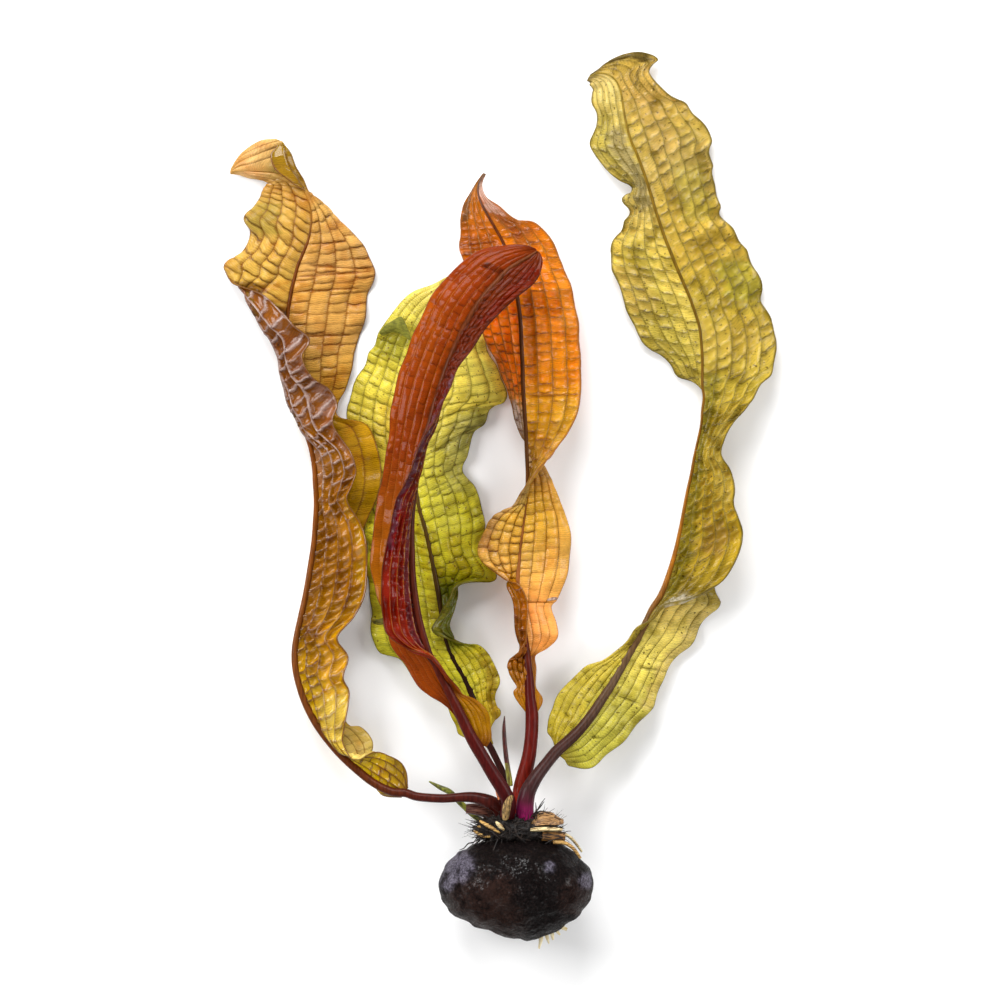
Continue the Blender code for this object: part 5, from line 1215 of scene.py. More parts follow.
@dataclass
class Tuber:
    """The tuber: a smooth body with low swellings and fine grit, and root stubs on its lower side.

    swellings holds photo columns and rows, reaches in mm and heights in mm, negative for hollows.
    """

    centre: tuple = (516.0, 889.0)
    middle_height: float = 0.015
    half_thickness: float = 0.0154
    outline: tuple = TUBER_OUTLINE
    swellings: tuple = ((484, 905, 7.5, 0.9), (576, 890, 5.5, 0.9), (548, 897, 3.6, -1.0), (541, 918, 3.2, -0.6),
                        (556, 876, 3.2, -0.7), (512, 884, 6.0, -0.5), (470, 868, 4.0, 0.5), (520, 858, 4.0, 0.5),
                        (503, 896, 1.6, -0.5), (508, 912, 1.8, -0.5), (462, 889, 1.6, -0.4))
    lump_size: float = 0.0060
    lump_height: float = 0.0007
    grit_size: float = 0.0009
    grit_height: float = 0.00018
    pit_size: float = 0.0030
    pit_height: float = 0.00042
    subdivisions: int = 7

    def radius(self, angles: np.ndarray) -> np.ndarray:
        """Return the outline's radius at each angle."""
        across = (np.array([spot[0] for spot in self.outline]) - self.centre[0]) * PHOTO_PIXEL
        along = (self.centre[1] - np.array([spot[1] for spot in self.outline])) * PHOTO_PIXEL
        marks = np.mod(np.arctan2(along, across), math.tau)
        order = np.argsort(marks)
        marks, reach = marks[order], np.hypot(across, along)[order]
        marks = np.concatenate((marks[-1:] - math.tau, marks, marks[:1] + math.tau))
        reach = np.concatenate((reach[-1:], reach, reach[:1]))
        index = np.clip(np.searchsorted(marks, angles, side="right") - 1, 0, len(marks) - 2)
        share = (angles - marks[index]) / (marks[index + 1] - marks[index])
        ease = share * share * (3.0 - 2.0 * share)
        return reach[index] + (reach[index + 1] - reach[index]) * ease

    def build(self) -> None:
        """Make the tuber."""
        body = bmesh.new()
        bmesh.ops.create_icosphere(body, subdivisions=self.subdivisions, radius=1.0)
        centre = place(*self.centre, 0.0)
        directions = np.array([vertex.co.normalized() for vertex in body.verts])
        angles = np.mod(np.arctan2(directions[:, 1], directions[:, 0]), math.tau)
        reaches = self.radius(angles)
        for vertex, direction, reach in zip(body.verts, directions, reaches):
            way = Vector(direction)
            flat = math.hypot(direction[0], direction[1])
            spot = Vector((direction[0] * reach, direction[1] * reach, direction[2] * self.half_thickness))
            lump = (noise.noise(spot / self.lump_size + Vector((0.0, 3.1, 0.0))) - 0.25) * self.lump_height
            if way.z > 0.0:
                for column, row, size, height in self.swellings:
                    away = place(column, row, 0.0) - centre - Vector((spot.x, spot.y, 0.0))
                    lump += height * MM * math.exp(-(away.length / (size * MM)) ** 2)
            pits = min(noise.noise(spot / self.pit_size + Vector((7.0, 0.0, 0.0))) + 0.18, 0.0)
            grit = noise.fractal(spot / self.grit_size, 0.7, 2.1, 3)
            spot += way * ((lump + pits * self.pit_height * 2.0) * (1.0 - flat ** 4)
                           + grit * self.grit_height * (1.0 - 0.6 * flat ** 4))
            height = self.middle_height + spot.z
            vertex.co = (centre.x + spot.x, centre.y + spot.y, max(height, 0.0))
        mesh = bpy.data.meshes.new("tuber_body")
        body.to_mesh(mesh)
        body.free()
        shape = mesh_object("tuber_body", mesh)
        dress(shape, "tuber", TuberFinish().material())
        routes = []
        for route in TUBER_ROOT_ROUTES:
            routes.append(read_route(route, 6 * len(route)))
        roots = mesh_object("tuber_roots", tube_mesh("tuber_roots", routes, 8))
        dress(roots, "tuber", BarkFinish("pale root", "#E0C890", "#F4E8C4", 0.0008, 0.6).material())


def read_route(route: tuple, count: int) -> tuple:
    """Read evenly spaced places and radii from a smooth curve through a route.

    Args:
        route: Stops of photo column, photo row, height in mm and radius in mm.
        count: How many places to read.

    Returns:
        The places and the radii, in metres.
    """
    spots = np.array([place(*stop[:3]) for stop in route])
    radii = np.array([stop[3] for stop in route]) * MM
    positions = np.linspace(0.0, len(route) - 1, count)
    return smooth_curve(spots, positions), smooth_curve(radii, positions)


@dataclass
class Crown:
    """The crown: a lump of old leaf bases and black fibres between the tuber and the stalks."""

    centre: tuple = (517.0, 830.0)
    middle_height: float = 0.0155
    half_sizes: tuple = (0.0112, 0.0043, 0.0078)
    lump_size: float = 0.0012
    lump_height: float = 0.0007
    fibres: int = 520
    seed: int = 7

    def build(self) -> None:
        """Make the core and the fibres."""
        centre = place(*self.centre, self.middle_height / MM)
        half = Vector(self.half_sizes)
        body = bmesh.new()
        bmesh.ops.create_icosphere(body, subdivisions=6, radius=1.0)
        for vertex in body.verts:
            way = vertex.co.normalized()
            spot = way * half
            lump = noise.fractal(spot / self.lump_size, 0.8, 2.1, 4) * self.lump_height
            vertex.co = centre + spot * 0.92 + way * lump
        mesh = bpy.data.meshes.new("crown_core")
        body.to_mesh(mesh)
        body.free()
        core = mesh_object("crown_core", mesh)
        dress(core, "crown", BarkFinish("black crown fibre", "#060404", "#1E1612", 0.0007, 0.7, 0.12).material())
        chance = random.Random(self.seed)
        strands = [self.strand(centre, half, chance) for _ in range(self.fibres)]
        strands += [read_route(route, 5 * len(route)) for route in CROWN_HAIRS]
        hairs = mesh_object("crown_fibres", tube_mesh("crown_fibres", strands, 4))
        dress(hairs, "crown", BarkFinish("dark fibre", "#080505", "#2A1E16", 0.0015, 0.55, 0.2).material())

    @staticmethod
    def strand(centre: Vector, half: Vector, chance: random.Random) -> tuple:
        """Make one curved fibre that starts on the crown's surface."""
        way = Vector((chance.uniform(-1.0, 1.0), chance.uniform(-0.6, 0.9), chance.uniform(-0.3, 1.0))).normalized()
        start = centre + way * half * 0.9
        aim = Vector((way.x * 1.4 + chance.uniform(-0.6, 0.6), way.y * 0.5 + chance.uniform(-0.5, 0.5),
                      way.z * 0.4 + chance.uniform(-0.4, 0.3))).normalized()
        length = chance.uniform(0.0010, 0.0034)
        bend = Vector((chance.uniform(-1, 1), chance.uniform(-1, 1), chance.uniform(-1, 1))) * 0.8
        width = chance.uniform(0.00005, 0.00020)
        places = []
        radii = []
        for step in range(7):
            share = step / 6
            places.append(start + (aim + bend * share * 0.7) * (length * share))
            radii.append(width * (1.0 - 0.8 * share))
        return places, radii


@dataclass(frozen=True)
class Strand:
    """A thin rounded piece that follows a route, with its finish."""

    name: str
    node: str
    route: tuple
    finish: BarkFinish

    def build(self) -> None:
        """Make the piece."""
        places, radii = read_route(self.route, 8 * len(self.route))
        shape = mesh_object(f"{self.name}_skin", tube_mesh(f"{self.name}_skin", [(places, radii)], 12))
        dress(shape, self.node, self.finish.material())


@dataclass(frozen=True)
class Flap:
    """A small thin sheet through rows of places, smoothed, such as a fold or a papery scale."""

    name: str
    node: str
    rows: tuple
    finish: BarkFinish
    thickness: float = 0.0003

    def build(self) -> None:
        """Make the sheet from a grid that is moved to its places and smoothed."""
        columns = len(self.rows[0])
        grid = bmesh.new()
        bmesh.ops.create_grid(grid, x_segments=columns - 1, y_segments=len(self.rows) - 1, size=1.0)
        grid.verts.ensure_lookup_table()
        for number, vertex in enumerate(grid.verts):
            row, column = divmod(number, columns)
            vertex.co = place(*self.rows[row][column])
        mesh = bpy.data.meshes.new(self.name)
        grid.to_mesh(mesh)
        grid.free()
        shape = mesh_object(self.name, mesh)
        smooth = shape.modifiers.new("smooth", "SUBSURF")
        smooth.levels = 4
        smooth.render_levels = 4
        wall = shape.modifiers.new("thickness", "SOLIDIFY")
        wall.thickness = self.thickness
        wall.offset = 0.0
        dress(shape, self.node, self.finish.material())


@dataclass
class Studio:
    """The pale floor, the soft light and the camera that looks straight down."""

    lens: float = 400.0
    sensor: float = 36.0
    focus_height: float = 0.015
    floor_size: float = 6.0
    light_size: float = 0.46
    sky: float = 0.38

    def build(self) -> None:
        """Make the floor, the lights and the camera."""
        scene = bpy.context.scene
        scene.view_settings.view_transform = "Standard"
        ground = bmesh.new()
        bmesh.ops.create_grid(ground, x_segments=1, y_segments=1, size=self.floor_size / 2)
        mesh = bpy.data.meshes.new("floor")
        ground.to_mesh(mesh)
        ground.free()
        floor = mesh_object("floor", mesh)
        material, _, shader = new_material("white studio paper")
        shader.inputs["Base Color"].default_value = linear("#FAFAFA")
        shader.inputs["Roughness"].default_value = 0.9
        shader.inputs["Specular IOR Level"].default_value = 0.1
        mesh.materials.append(material)
        world = bpy.data.worlds.new("soft studio sky")
        world.use_nodes = True
        world.node_tree.nodes["Background"].inputs["Color"].default_value = (1.0, 1.0, 1.0, 1.0)
        world.node_tree.nodes["Background"].inputs["Strength"].default_value = self.sky
        scene.world = world
        for name, spot, power in (
            ("left softbox", (-0.62, 0.22, 0.52), 6.2), ("right softbox", (0.66, 0.16, 0.48), 3.6),
            ("top softbox", (-0.12, 0.64, 0.46), 6.6), ("bottom softbox", (0.05, -0.62, 0.60), 1.2),
        ):
            self.light(name, spot, self.light_size, power)
        data = bpy.data.cameras.new("photo camera")
        data.lens = self.lens
        data.sensor_width = self.sensor
        frame_width = PHOTO_WIDTH * PHOTO_PIXEL
        distance = frame_width * self.lens / self.sensor
        data.clip_end = 20.0
        camera = bpy.data.objects.new("photo camera", data)
        middle = place(PHOTO_MIDDLE, PHOTO_MIDDLE, 0.0)
        camera.location = (middle.x, middle.y, self.focus_height + distance)
        scene.collection.objects.link(camera)
        scene.camera = camera

    @staticmethod
    def light(name: str, spot: tuple, size: float, power: float) -> None:
        """Make a square soft light that points at the middle of the plant."""
        data = bpy.data.lights.new(name, "AREA")
        data.size = size
        data.energy = power
        lamp = bpy.data.objects.new(name, data)
        aim = place(PHOTO_MIDDLE, PHOTO_MIDDLE, 0.0)
        lamp.location = (aim.x + spot[0], aim.y + spot[1], spot[2])
        lamp.rotation_euler = (aim - lamp.location).to_track_quat("-Z", "Y").to_euler()
        bpy.context.scene.collection.objects.link(lamp)


STRAW = BarkFinish("straw root", "#5A3614", "#D0A65C", 0.0006, 0.5, 0.15, stretch=(0.4, 2.0, 1.0))
CREAM = BarkFinish("cream root", "#7E5C2C", "#E4D2A0", 0.0006, 0.5, 0.15, stretch=(0.3, 2.2, 1.0))
PAPER = BarkFinish("papery husk", "#3E200C", "#B88C58", 0.0006, 0.5, 0.12, stretch=(0.25, 2.6, 1.0))

AMBER = LeafFinish("amber leaf skin", vein="#8A5A1E", crease="#52300C", rim="#7E5220", shade_and_stain_tint="#D69650",
                   vein_share=0.040, vein_strength=0.6, brightness=0.96, film=0.30, stain_strength=0.45,
                   crease_strength=0.75, groove_light=0.68, lower_side_light=0.78)
BROWN = replace(AMBER, name="glossy brown leaf underside", vein_share=0.045, vein_strength=0.8, specular=0.05,
                film=0.75, film_roughness=0.11, rim="#7A4E28", crease_share=0.065, groove_light=0.62, richness=1.14,
                glow=0.15, brightness=1.04, shade_and_stain_tint="#B88048", crease_strength=0.85)
RED = LeafFinish("red-brown leaf skin", vein="#A86A20", vein_strength=0.65, crease="#300C02", rim="#4A1A0C",
                 glow=0.18, vein_share=0.040, crease_share=0.036, crease_strength=0.75, groove_light=0.86,
                 specular=0.02, film=0.22, film_roughness=0.12, brightness=0.72, shade_and_stain_tint="#B85828",
                 stain_strength=0.25, richness=1.22, lower_side_light=0.84)
GREEN = LeafFinish("yellow-green leaf skin", vein="#8A7A1C", crease="#5E5010", rim="#6E6418", glow=0.40,
                   speck="#6A3C08", speck_strength=0.8, film=0.36, shade_and_stain_tint="#B8AA44", brightness=1.09,
                   groove_light=0.78, shade_strength=0.7, vein_share=0.038, vein_strength=0.6,
                   crease_strength=0.65, stain_strength=0.5, lower_side_light=0.84)
ORANGE = LeafFinish("golden orange leaf skin", vein="#946A1C", crease="#622A08", rim="#A86C30",
                    vein_share=0.036, vein_strength=0.7, film=0.55, glow=0.40, film_roughness=0.12, shade_and_stain_tint="#D0843E",
                    brightness=1.07, richness=1.08, shade_strength=0.6, groove_light=0.70,
                    crease_strength=0.65, lower_side_light=0.80)
OLIVE = LeafFinish("olive-yellow leaf skin", vein="#7A6A20", crease="#564A14", rim="#70601E", glow=0.36,
                   speck_strength=0.8, film=0.32, shade_and_stain_tint="#AEA244", brightness=0.97, groove_light=0.72,
                   vein_share=0.042, vein_strength=0.6, crease_share=0.046, crease_strength=0.68,
                   stain_strength=0.6, lower_side_light=0.80)

LEFT = Side.LEFT
RIGHT = Side.RIGHT

LEAVES = (
    Leaf(
        "leaf_left", LEFT_LEAF_STATIONS, LEFT_STALK_ROUTE, 1.4, veins=4, pitch=2.75, slants=(0.55, 0.05),
        quilts=((0, 0.16, 0.16), (7, 0.46, 0.12), (13, 0.80, 0.10), (22, 0.78, 0.12), (31, 0.55, 0.24),
                (35, 0.38, 0.30), (42, 0.26, 0.26), (47, 0.08, 0.08)),
        cross=((0, 0.8, 0.7, 0.8, 0.7), (5, 0.8, 0.6, 0.6, 0.4), (8, 1.0, 0.9, 0.5, 0.3), (13, 1.0, 0.5, 0.3, 0.2),
               (16, 1.0, 0.25, 0.35, 0.3), (19, 1.0, 0.9, 0.4, 0.4), (24, 1.0, 1.0, 0.7, 0.7),
               (36, 1.0, 1.0, 1.0, 1.0), (40, 1.0, 0.7, 0.6, 0.6), (43, 0.3, 0.2, 0.2, 0.2),
               (47, 0.1, 0.1, 0.1, 0.1)),
        folds=((LEFT, 22, (305.8, 433, 9.8)), (LEFT, 23, (298.4, 419, 9.4)),
               (LEFT, 24, (291, 405, 9.2)), (LEFT, 25, (286.3, 389, 9.0)),
               (LEFT, 26, (279.6, 374, 8.8)), (LEFT, 27, (275.8, 356, 8.6)),
               (LEFT, 28, (268.1, 339, 8.3)), (LEFT, 29, (259.1, 325, 8.0)),
               (LEFT, 30, (251.1, 311, 7.5)), (LEFT, 31, (243.4, 297, 6.4)),
               (LEFT, 32, (246, 286, 5.0)), (LEFT, 33, (258, 275, 4.6)),
               (RIGHT, 40, (307, 188, 7.4)), (RIGHT, 41, (301.8, 178, 7.6)),
               (RIGHT, 42, (295.6, 166, 7.8)), (RIGHT, 43, (289, 151, 7.4)),
               (RIGHT, 44, (280, 145, 6.4))),
        tints=((0, "#6B4306", "#6B4306"), (2, "#B0902E", "#A88A2C"), (4, "#E7CE71", "#E8CE74"),
               (7, "#CDAE54", "#C8A548"), (10, "#B08838", "#B89038"), (13, "#B88C40", "#A88020"),
               (15, "#C49648", "#B0821E"), (18, "#C49648", "#B4881E"), (21, "#C89A4A", "#BC8C1E"),
               (23, "#C49648", "#C0902E"), (25, "#C49A4C", "#CC9C40"), (28, "#C8A050", "#D4A258"),
               (32, "#D4AA52", "#D8A456"), (33, "#D4AC54", "#D4A058"), (34, "#D2A852", "#D6A45E"),
               (38, "#D0A452", "#D4A65C"), (41, "#C89A4E", "#B08848"), (43, "#C8A25E", "#B09048"),
               (45, "#E0B880", "#DCB070"), (47, "#C89850", "#D0A058")),
        # The lilac line colours from station 18 to 32 are painted reflections on the raised vein network of the brown
        # underside. The others are the veins' own colours.
        under_lines_and_sheen=((0, "#5A3408", "#6E4A16"), (12, "#5A3408", "#6E4A16"), (15, "#74440E", "#6E4A16"),
                     (18, "#8A6850", "#6E4A16"), (22, "#AA9086", "#6E4A16"), (32, "#AA9086", "#6E4A16"),
                     (34, "#8A6430", "#6E4A16"), (47, "#A07840", "#6E4A16")),
        line_widths=((0, 1.4, 1.2), (11, 1.3, 1.0), (15, 0.9, 1.0), (18, 1.3, 1.0), (22, 1.9, 1.0), (32, 1.9, 1.0), (34, 0.8, 1.0),
                     (47, 0.6, 0.8)),
        undersides=((0, "#6B4306", "#6B4306"), (2, "#B8962E", "#A88A2C"), (4, "#E7CE71", "#E8CE74"),
                    (7, "#C4A450", "#C8A548"), (10, "#B48A36", "#B89038"), (13, "#A07020", "#A88020"),
                    (15, "#A0680A", "#B0821E"), (18, "#A0660C", "#B4881E"), (21, "#925A0E", "#BC8C1E"),
                    (23, "#804808", "#C0902E"), (25, "#784206", "#C89A3A"), (28, "#764006", "#DDB060"),
                    (34, "#7E480E", "#B88A40"), (38, "#9A6A24", "#9A7028"), (43, "#E8C8A0", "#7E6228"),
                    (47, "#D8A860", "#A88A40")),
        patches=(
            # The folded half's upper side is given dark brown here. Along the fold's edge this also serves as painted
            # shade.
            Patch(LEFT, 21, 30.6, -0.2, 1.2, "#6A4414", 1.0), Patch(LEFT, 30, 32.2, 0.3, 1.2, "#6A4414", 0.9),
            Patch(LEFT, 33.5, 38.5, 0.0, 0.3, "#B88A40", 0.6),
            Patch(LEFT, 36, 39, 0.5, 1.0, "#9C8A3C", 0.6), Patch(RIGHT, 34.5, 38, 0.0, 0.25, "#B07A30", 0.5),
            Patch(RIGHT, 24, 33, 0.0, 0.16, "#B4742C", 0.6), Patch(LEFT, 27, 33, 0.0, 0.12, "#B4742C", 0.5),
            Patch(RIGHT, 40, 44, 0.15, 0.45, "#8A6A30", 0.5), Patch(LEFT, 5, 9, 0.0, 0.2, "#A88838", 0.6),
            Patch(LEFT, 9, 13, 0.55, 1.0, "#D8A860", 0.55, True), Patch(LEFT, 6, 9, 0.3, 1.0, "#D8C070", 0.5, True),
            Patch(LEFT, 13, 19, 0.0, 0.2, "#8A5A28", 0.6, True), Patch(LEFT, 14, 18, 0.85, 1.0, "#B08C40", 0.6, True),
            # Lilac beside the midrib and at the margin of the brown underside: painted reflections.
            Patch(LEFT, 19, 25, 0.0, 0.12, "#A08070", 0.6, True), Patch(LEFT, 20, 27, 0.9, 1.0, "#9A8078", 0.6, True),
            # Pinkish white on the curled tip's underside: a painted highlight.
            Patch(LEFT, 40, 45, 0.0, 1.0, "#F0D8B8", 0.8, True),
        ),
        creases=(Crease(RIGHT, 33.0, 0.03, 0.0, 1.0, 0.4, 0.35), Crease(RIGHT, 34.1, -0.10, 0.1, 1.0, 0.4, 0.35),
                 Crease(RIGHT, 31.8, 0.0, 0.1, 0.9, 0.3, 0.35), Crease(RIGHT, 28.2, 0.0, 0.0, 0.9, 0.35, 0.35),
                 Crease(RIGHT, 23.6, 0.10, 0.2, 1.0, 0.3, 0.35)),
        spine=((0.0, "#3A100C"), (0.14, "#44160E"), (0.22, "#502408"), (0.40, "#6A3A10"), (0.52, "#6A3606"),
               (0.60, "#5A2C04"), (0.80, "#5A2C04"), (0.88, "#9A6A24"), (1.0, "#C89448")),
        midrib_radii=(0.95, 0.8, 0.7, 0.65, 0.55, 0.42, 0.2, 0.06),
        finish=AMBER, under_finish=BROWN, column_offset=0.12, cell_jitter=0.35,
    ),
    Leaf(
        "leaf_red", RED_LEAF_STATIONS, RED_STALK_ROUTE, 0.0, veins=5, pitch=2.45, slants=(0.12, 0.12),
        quilts=((0, 0.04, 0.10), (8, 0.08, 0.34), (14, 0.08, 0.50), (24, 0.11, 0.42), (32, 0.14, 0.28),
                (38, 0.05, 0.05)),
        cross=((0, 0.1, 0.1, 0.1, 0.1), (7, 0.3, 0.1, 0.8, 0.0), (16, 0.5, 0.3, 1.0, 0.1), (21, 0.6, 0.4, 1.0, 1.0),
               (26, 0.9, 0.6, 1.0, 1.0), (32, 0.9, 0.45, 0.8, 0.9), (35, 0.5, 0.2, 0.4, 0.3), (38, 0.1, 0.1, 0.1, 0.1)),
        tints=((0, "#6B2408", "#8A4A18"), (2, "#6B2408", "#B88236"), (4, "#7A3010", "#B07A2E"),
               (6, "#9A4212", "#9A4A18"), (8, "#A04210", "#8E2E0A"), (10, "#A0440C", "#96240A"),
               (13, "#B86E14", "#92200A"), (16, "#A85A0C", "#881E0C"), (19, "#984606", "#741C10"),
               (22, "#923804", "#64200C"), (26, "#983C06", "#64200C"), (29, "#A04812", "#662209"),
               (32, "#983C0E", "#6E2A10"), (35, "#92380E", "#743020"), (38, "#7E3410", "#7A3A1C")),
        patches=(
            Patch(RIGHT, 9.5, 18.5, 0.0, 0.36, "#6E464A", 0.75), Patch(RIGHT, 12, 20, 0.45, 0.85, "#8E1E14", 0.6),
            # Silvery mauve along the right margin and pinkish colour along the left margin: painted sheen.
            Patch(RIGHT, 16, 27, 0.80, 1.0, "#6E5A66", 0.55), Patch(LEFT, 22, 31, 0.88, 1.0, "#B87860", 0.5),
            # Dark brown beside the midrib: the midrib's own colour and painted shade in the valley beside it.
            Patch(LEFT, 8, 37.5, 0.0, 0.06, "#52200A", 0.85), Patch(RIGHT, 20, 37.5, 0.0, 0.10, "#52200A", 0.85),
            # The first patch, dark along the crease at station 33.6: painted shade in the crease.
            Patch(LEFT, 33.3, 33.9, 0.0, 0.55, "#3A1006", 0.9), Patch(RIGHT, 30, 35, 0.55, 0.95, "#7E4A4E", 0.3),
            Patch(LEFT, 36.8, 38, 0.3, 1.0, "#4A1C10", 0.6), Patch(LEFT, 6, 9, 0.0, 1.0, "#A84A0C", 0.5),
            Patch(LEFT, 28, 36, 0.1, 0.4, "#8A300A", 0.5),
        ),
        creases=(Crease(LEFT, 33.6, -0.15, 0.0, 0.6, 0.3, 0.35),),
        spine=((0.0, "#34080A"), (0.14, "#460E0A"), (0.25, "#4A140A"), (0.50, "#441A0C"), (0.75, "#4C200A"),
               (0.95, "#5A2A0C"), (1.0, "#6A3410")),
        midrib_radii=(1.15, 0.9, 0.85, 0.85, 0.85, 0.85, 0.7, 0.15),
        spine_lift=0.45, finish=RED, under_finish=replace(RED, name="red-brown leaf underside", film=0.45),
        ripple=0.25, crumple=0.12, column_offset=0.22, crease_floor=0.2, vein_dip=0.35,
    ),
    Leaf(
        "leaf_green", GREEN_LEAF_STATIONS, GREEN_STALK_ROUTE, 1.3, veins=5, pitch=2.7, slants=(0.1, 0.35),
        quilts=((0, 0.10, 0.10), (6, 0.20, 0.24), (15, 0.24, 0.30), (25, 0.30, 0.30), (31, 0.16, 0.16),
                (34, 0.05, 0.05)),
        cross=((0, 0.3, 0.2, 0.3, 0.3), (5, 0.5, 0.3, 0.7, 0.8), (9, 0.7, 0.4, 0.2, 0.2), (14, 0.6, 0.4, 1.0, 0.3),
               (19, 0.8, 0.7, 1.0, 0.9), (24, 1.0, 1.0, 1.0, 1.0), (28, 0.9, 0.9, 0.7, 0.7),
               (31, 0.5, 0.4, 0.4, 0.4), (34, 0.2, 0.2, 0.2, 0.2)),
        # From about station 15 to 31 the right half's colours are painted lighter, as painted light, where the red
        # leaf's shadow falls on it.
        tints=((0, "#8A7420", "#8A7420"), (3, "#B0A030", "#DCC044"), (5, "#BCB438", "#DCCE4C"),
               (7, "#C8C03C", "#CCBE3C"), (8, "#CCC444", "#8A8820"), (9, "#CCC444", "#5E600E"),
               (13, "#C8BE3C", "#5C5E0C"), (14, "#CCC43A", "#96901C"), (15, "#CCC438", "#D2C83A"),
               (19, "#D0C442", "#E2DA4C"), (23, "#D6C24E", "#DCD062"), (26, "#DED056", "#F2E268"),
               (29, "#D2C64E", "#F4E670"), (31, "#DACC68", "#F0E070"), (34, "#D8CA78", "#D5C673")),
        patches=(
            Patch(RIGHT, 1.5, 6.5, 0.62, 0.95, "#8A5E14", 0.6), Patch(RIGHT, 2, 6, 0.0, 0.3, "#A8A42C", 0.5),
            Patch(RIGHT, 20, 24.5, 0.55, 1.0, "#A8A060", 0.55), Patch(RIGHT, 22, 25.5, 0.8, 1.0, "#70682C", 0.6),
            Patch(RIGHT, 17, 22, 0.2, 0.6, "#D4CA54", 0.5), Patch(LEFT, 27.6, 29.2, 0.35, 1.0, "#7E7A20", 0.55),
            Patch(LEFT, 19, 23, 0.3, 0.7, "#A88A30", 0.35), Patch(RIGHT, 14, 18, 0.0, 0.14, "#8A6A14", 0.5),
            Patch(LEFT, 10, 18, 0.0, 0.14, "#9A7A18", 0.5), Patch(RIGHT, 24, 28, 0.0, 0.5, "#E0D060", 0.4),
            Patch(LEFT, 7.2, 9.0, 0.6, 1.0, "#8E8A24", 0.6), Patch(LEFT, 11, 17, 0.5, 0.8, "#A8981E", 0.5),
            Patch(RIGHT, 9, 20, 0.86, 1.0, "#9A8C2C", 0.5), Patch(RIGHT, 15, 17.5, 0.3, 0.6, "#B49A28", 0.5),
            Patch(RIGHT, 26, 30, 0.5, 0.9, "#DCD064", 0.5), Patch(LEFT, 23, 25, 0.0, 0.5, "#D8B84C", 0.5),
        ),
        spine=((0.0, "#2E0C08"), (0.12, "#280C08"), (0.25, "#200C04"), (0.42, "#342004"), (0.6, "#4E380C"),
               (0.85, "#7E6A20"), (1.0, "#B4A448")),
        midrib_radii=(0.8, 0.75, 0.7, 0.65, 0.5, 0.35, 0.22, 0.1),
        creases=(Crease(RIGHT, 21.6, 0.5, 0.1, 1.0, 0.35, 0.4), Crease(RIGHT, 23.4, 0.5, 0.2, 1.0, 0.35, 0.4),
                 Crease(RIGHT, 19.4, 0.4, 0.2, 0.9, 0.3, 0.35)),
        finish=GREEN, under_finish=replace(GREEN, name="green leaf underside", film=0.5),
        ripple=0.6, ripple_length=8.5, column_offset=0.3,
    ),
    Leaf(
        "leaf_orange", ORANGE_LEAF_STATIONS, ORANGE_STALK_ROUTE, 0.0, veins=4, pitch=2.35, slants=(0.0, 0.0),
        quilts=((0, 0.12, 0.12), (7, 0.60, 0.12), (12, 0.55, 0.14), (16, 0.44, 0.34), (20, 0.34, 0.34),
                (26, 0.46, 0.46), (34, 0.44, 0.42), (38, 0.15, 0.15), (40, 0.0, 0.0)),
        cross=((0, 0.3, 0.3, 0.3, 0.3), (6, 1.0, 0.8, 0.4, 0.1), (12, 1.0, 0.8, 0.6, 0.0), (17, 1.0, 0.6, 1.0, 0.0),
               (20, 0.8, 0.6, 0.9, 0.4), (24, 1.0, 0.5, 0.9, 0.9), (26, 1.0, 0.6, 1.0, 1.0), (34, 1.0, 0.8, 0.8, 1.0),
               (37, 0.4, 0.3, 0.4, 0.3), (40, 0.0, 0.0, 0.0, 0.0)),
        # From station 26 to 33 the right half's colours are painted lighter, as painted light, where that half lies in
        # shade.
        tints=((0, "#B87A18", "#B87A18"), (4, "#A46812", "#A46812"), (6, "#8E4E10", "#8E4E10"),
               (7, "#A05A18", "#FAC074"), (10, "#A86420", "#FABE76"), (12, "#B8741E", "#F0BC6C"),
               (14, "#E4B868", "#E2B866"), (17, "#E0B85C", "#D8AE50"), (19, "#B8985C", "#CC9E4C"),
               (21, "#B88A3C", "#C0985C"), (23, "#CC9A48", "#D6B080"), (25, "#D6A040", "#D6C0A6"),
               (26, "#E4AA48", "#F4B868"), (27, "#E49A3A", "#F8A050"), (30, "#F09E4C", "#FF9C48"),
               (33, "#EC9444", "#F08C38"), (35, "#C47838", "#C47024"), (36, "#B06C3A", "#C0742A"),
               (38, "#B88068", "#B46E2C"), (40, "#705030", "#705030")),
        patches=(
            Patch(LEFT, 12.5, 20, 0.0, 0.3, "#C89A44", 0.5), Patch(RIGHT, 9, 20, 0.6, 1.0, "#E4B468", 0.4),
            Patch(LEFT, 15, 19, 0.7, 1.0, "#C8A070", 0.6), Patch(RIGHT, 21.5, 24.0, 0.0, 1.0, "#C8A880", 0.5),
            Patch(LEFT, 23, 26.5, 0.6, 1.0, "#D8B050", 0.5), Patch(LEFT, 29, 34, 0.7, 1.0, "#DCA050", 0.5),
            # The second patch, dark along the creases at stations 33.6 and 34.2: painted shade in the creases.
            Patch(LEFT, 27, 33, 0.0, 0.3, "#C0682A", 0.5), Patch(RIGHT, 33.2, 34.6, 0.1, 1.0, "#8A3E0C", 0.6),
            # The first patch, pinkish white on the tip's flank: a painted highlight.
            Patch(LEFT, 36.5, 39.2, 0.15, 0.9, "#E0C0B0", 0.8), Patch(RIGHT, 35.5, 39.5, 0.7, 1.0, "#5A4838", 0.7),
            Patch(LEFT, 34.0, 36.5, 0.25, 0.7, "#8E5438", 0.6), Patch(RIGHT, 24, 26, 0.4, 1.0, "#EADCD2", 0.7),
            Patch(RIGHT, 26, 29, 0.7, 1.0, "#C88858", 0.4), Patch(RIGHT, 6.5, 8, 0.0, 1.0, "#B86030", 0.4),
        ),
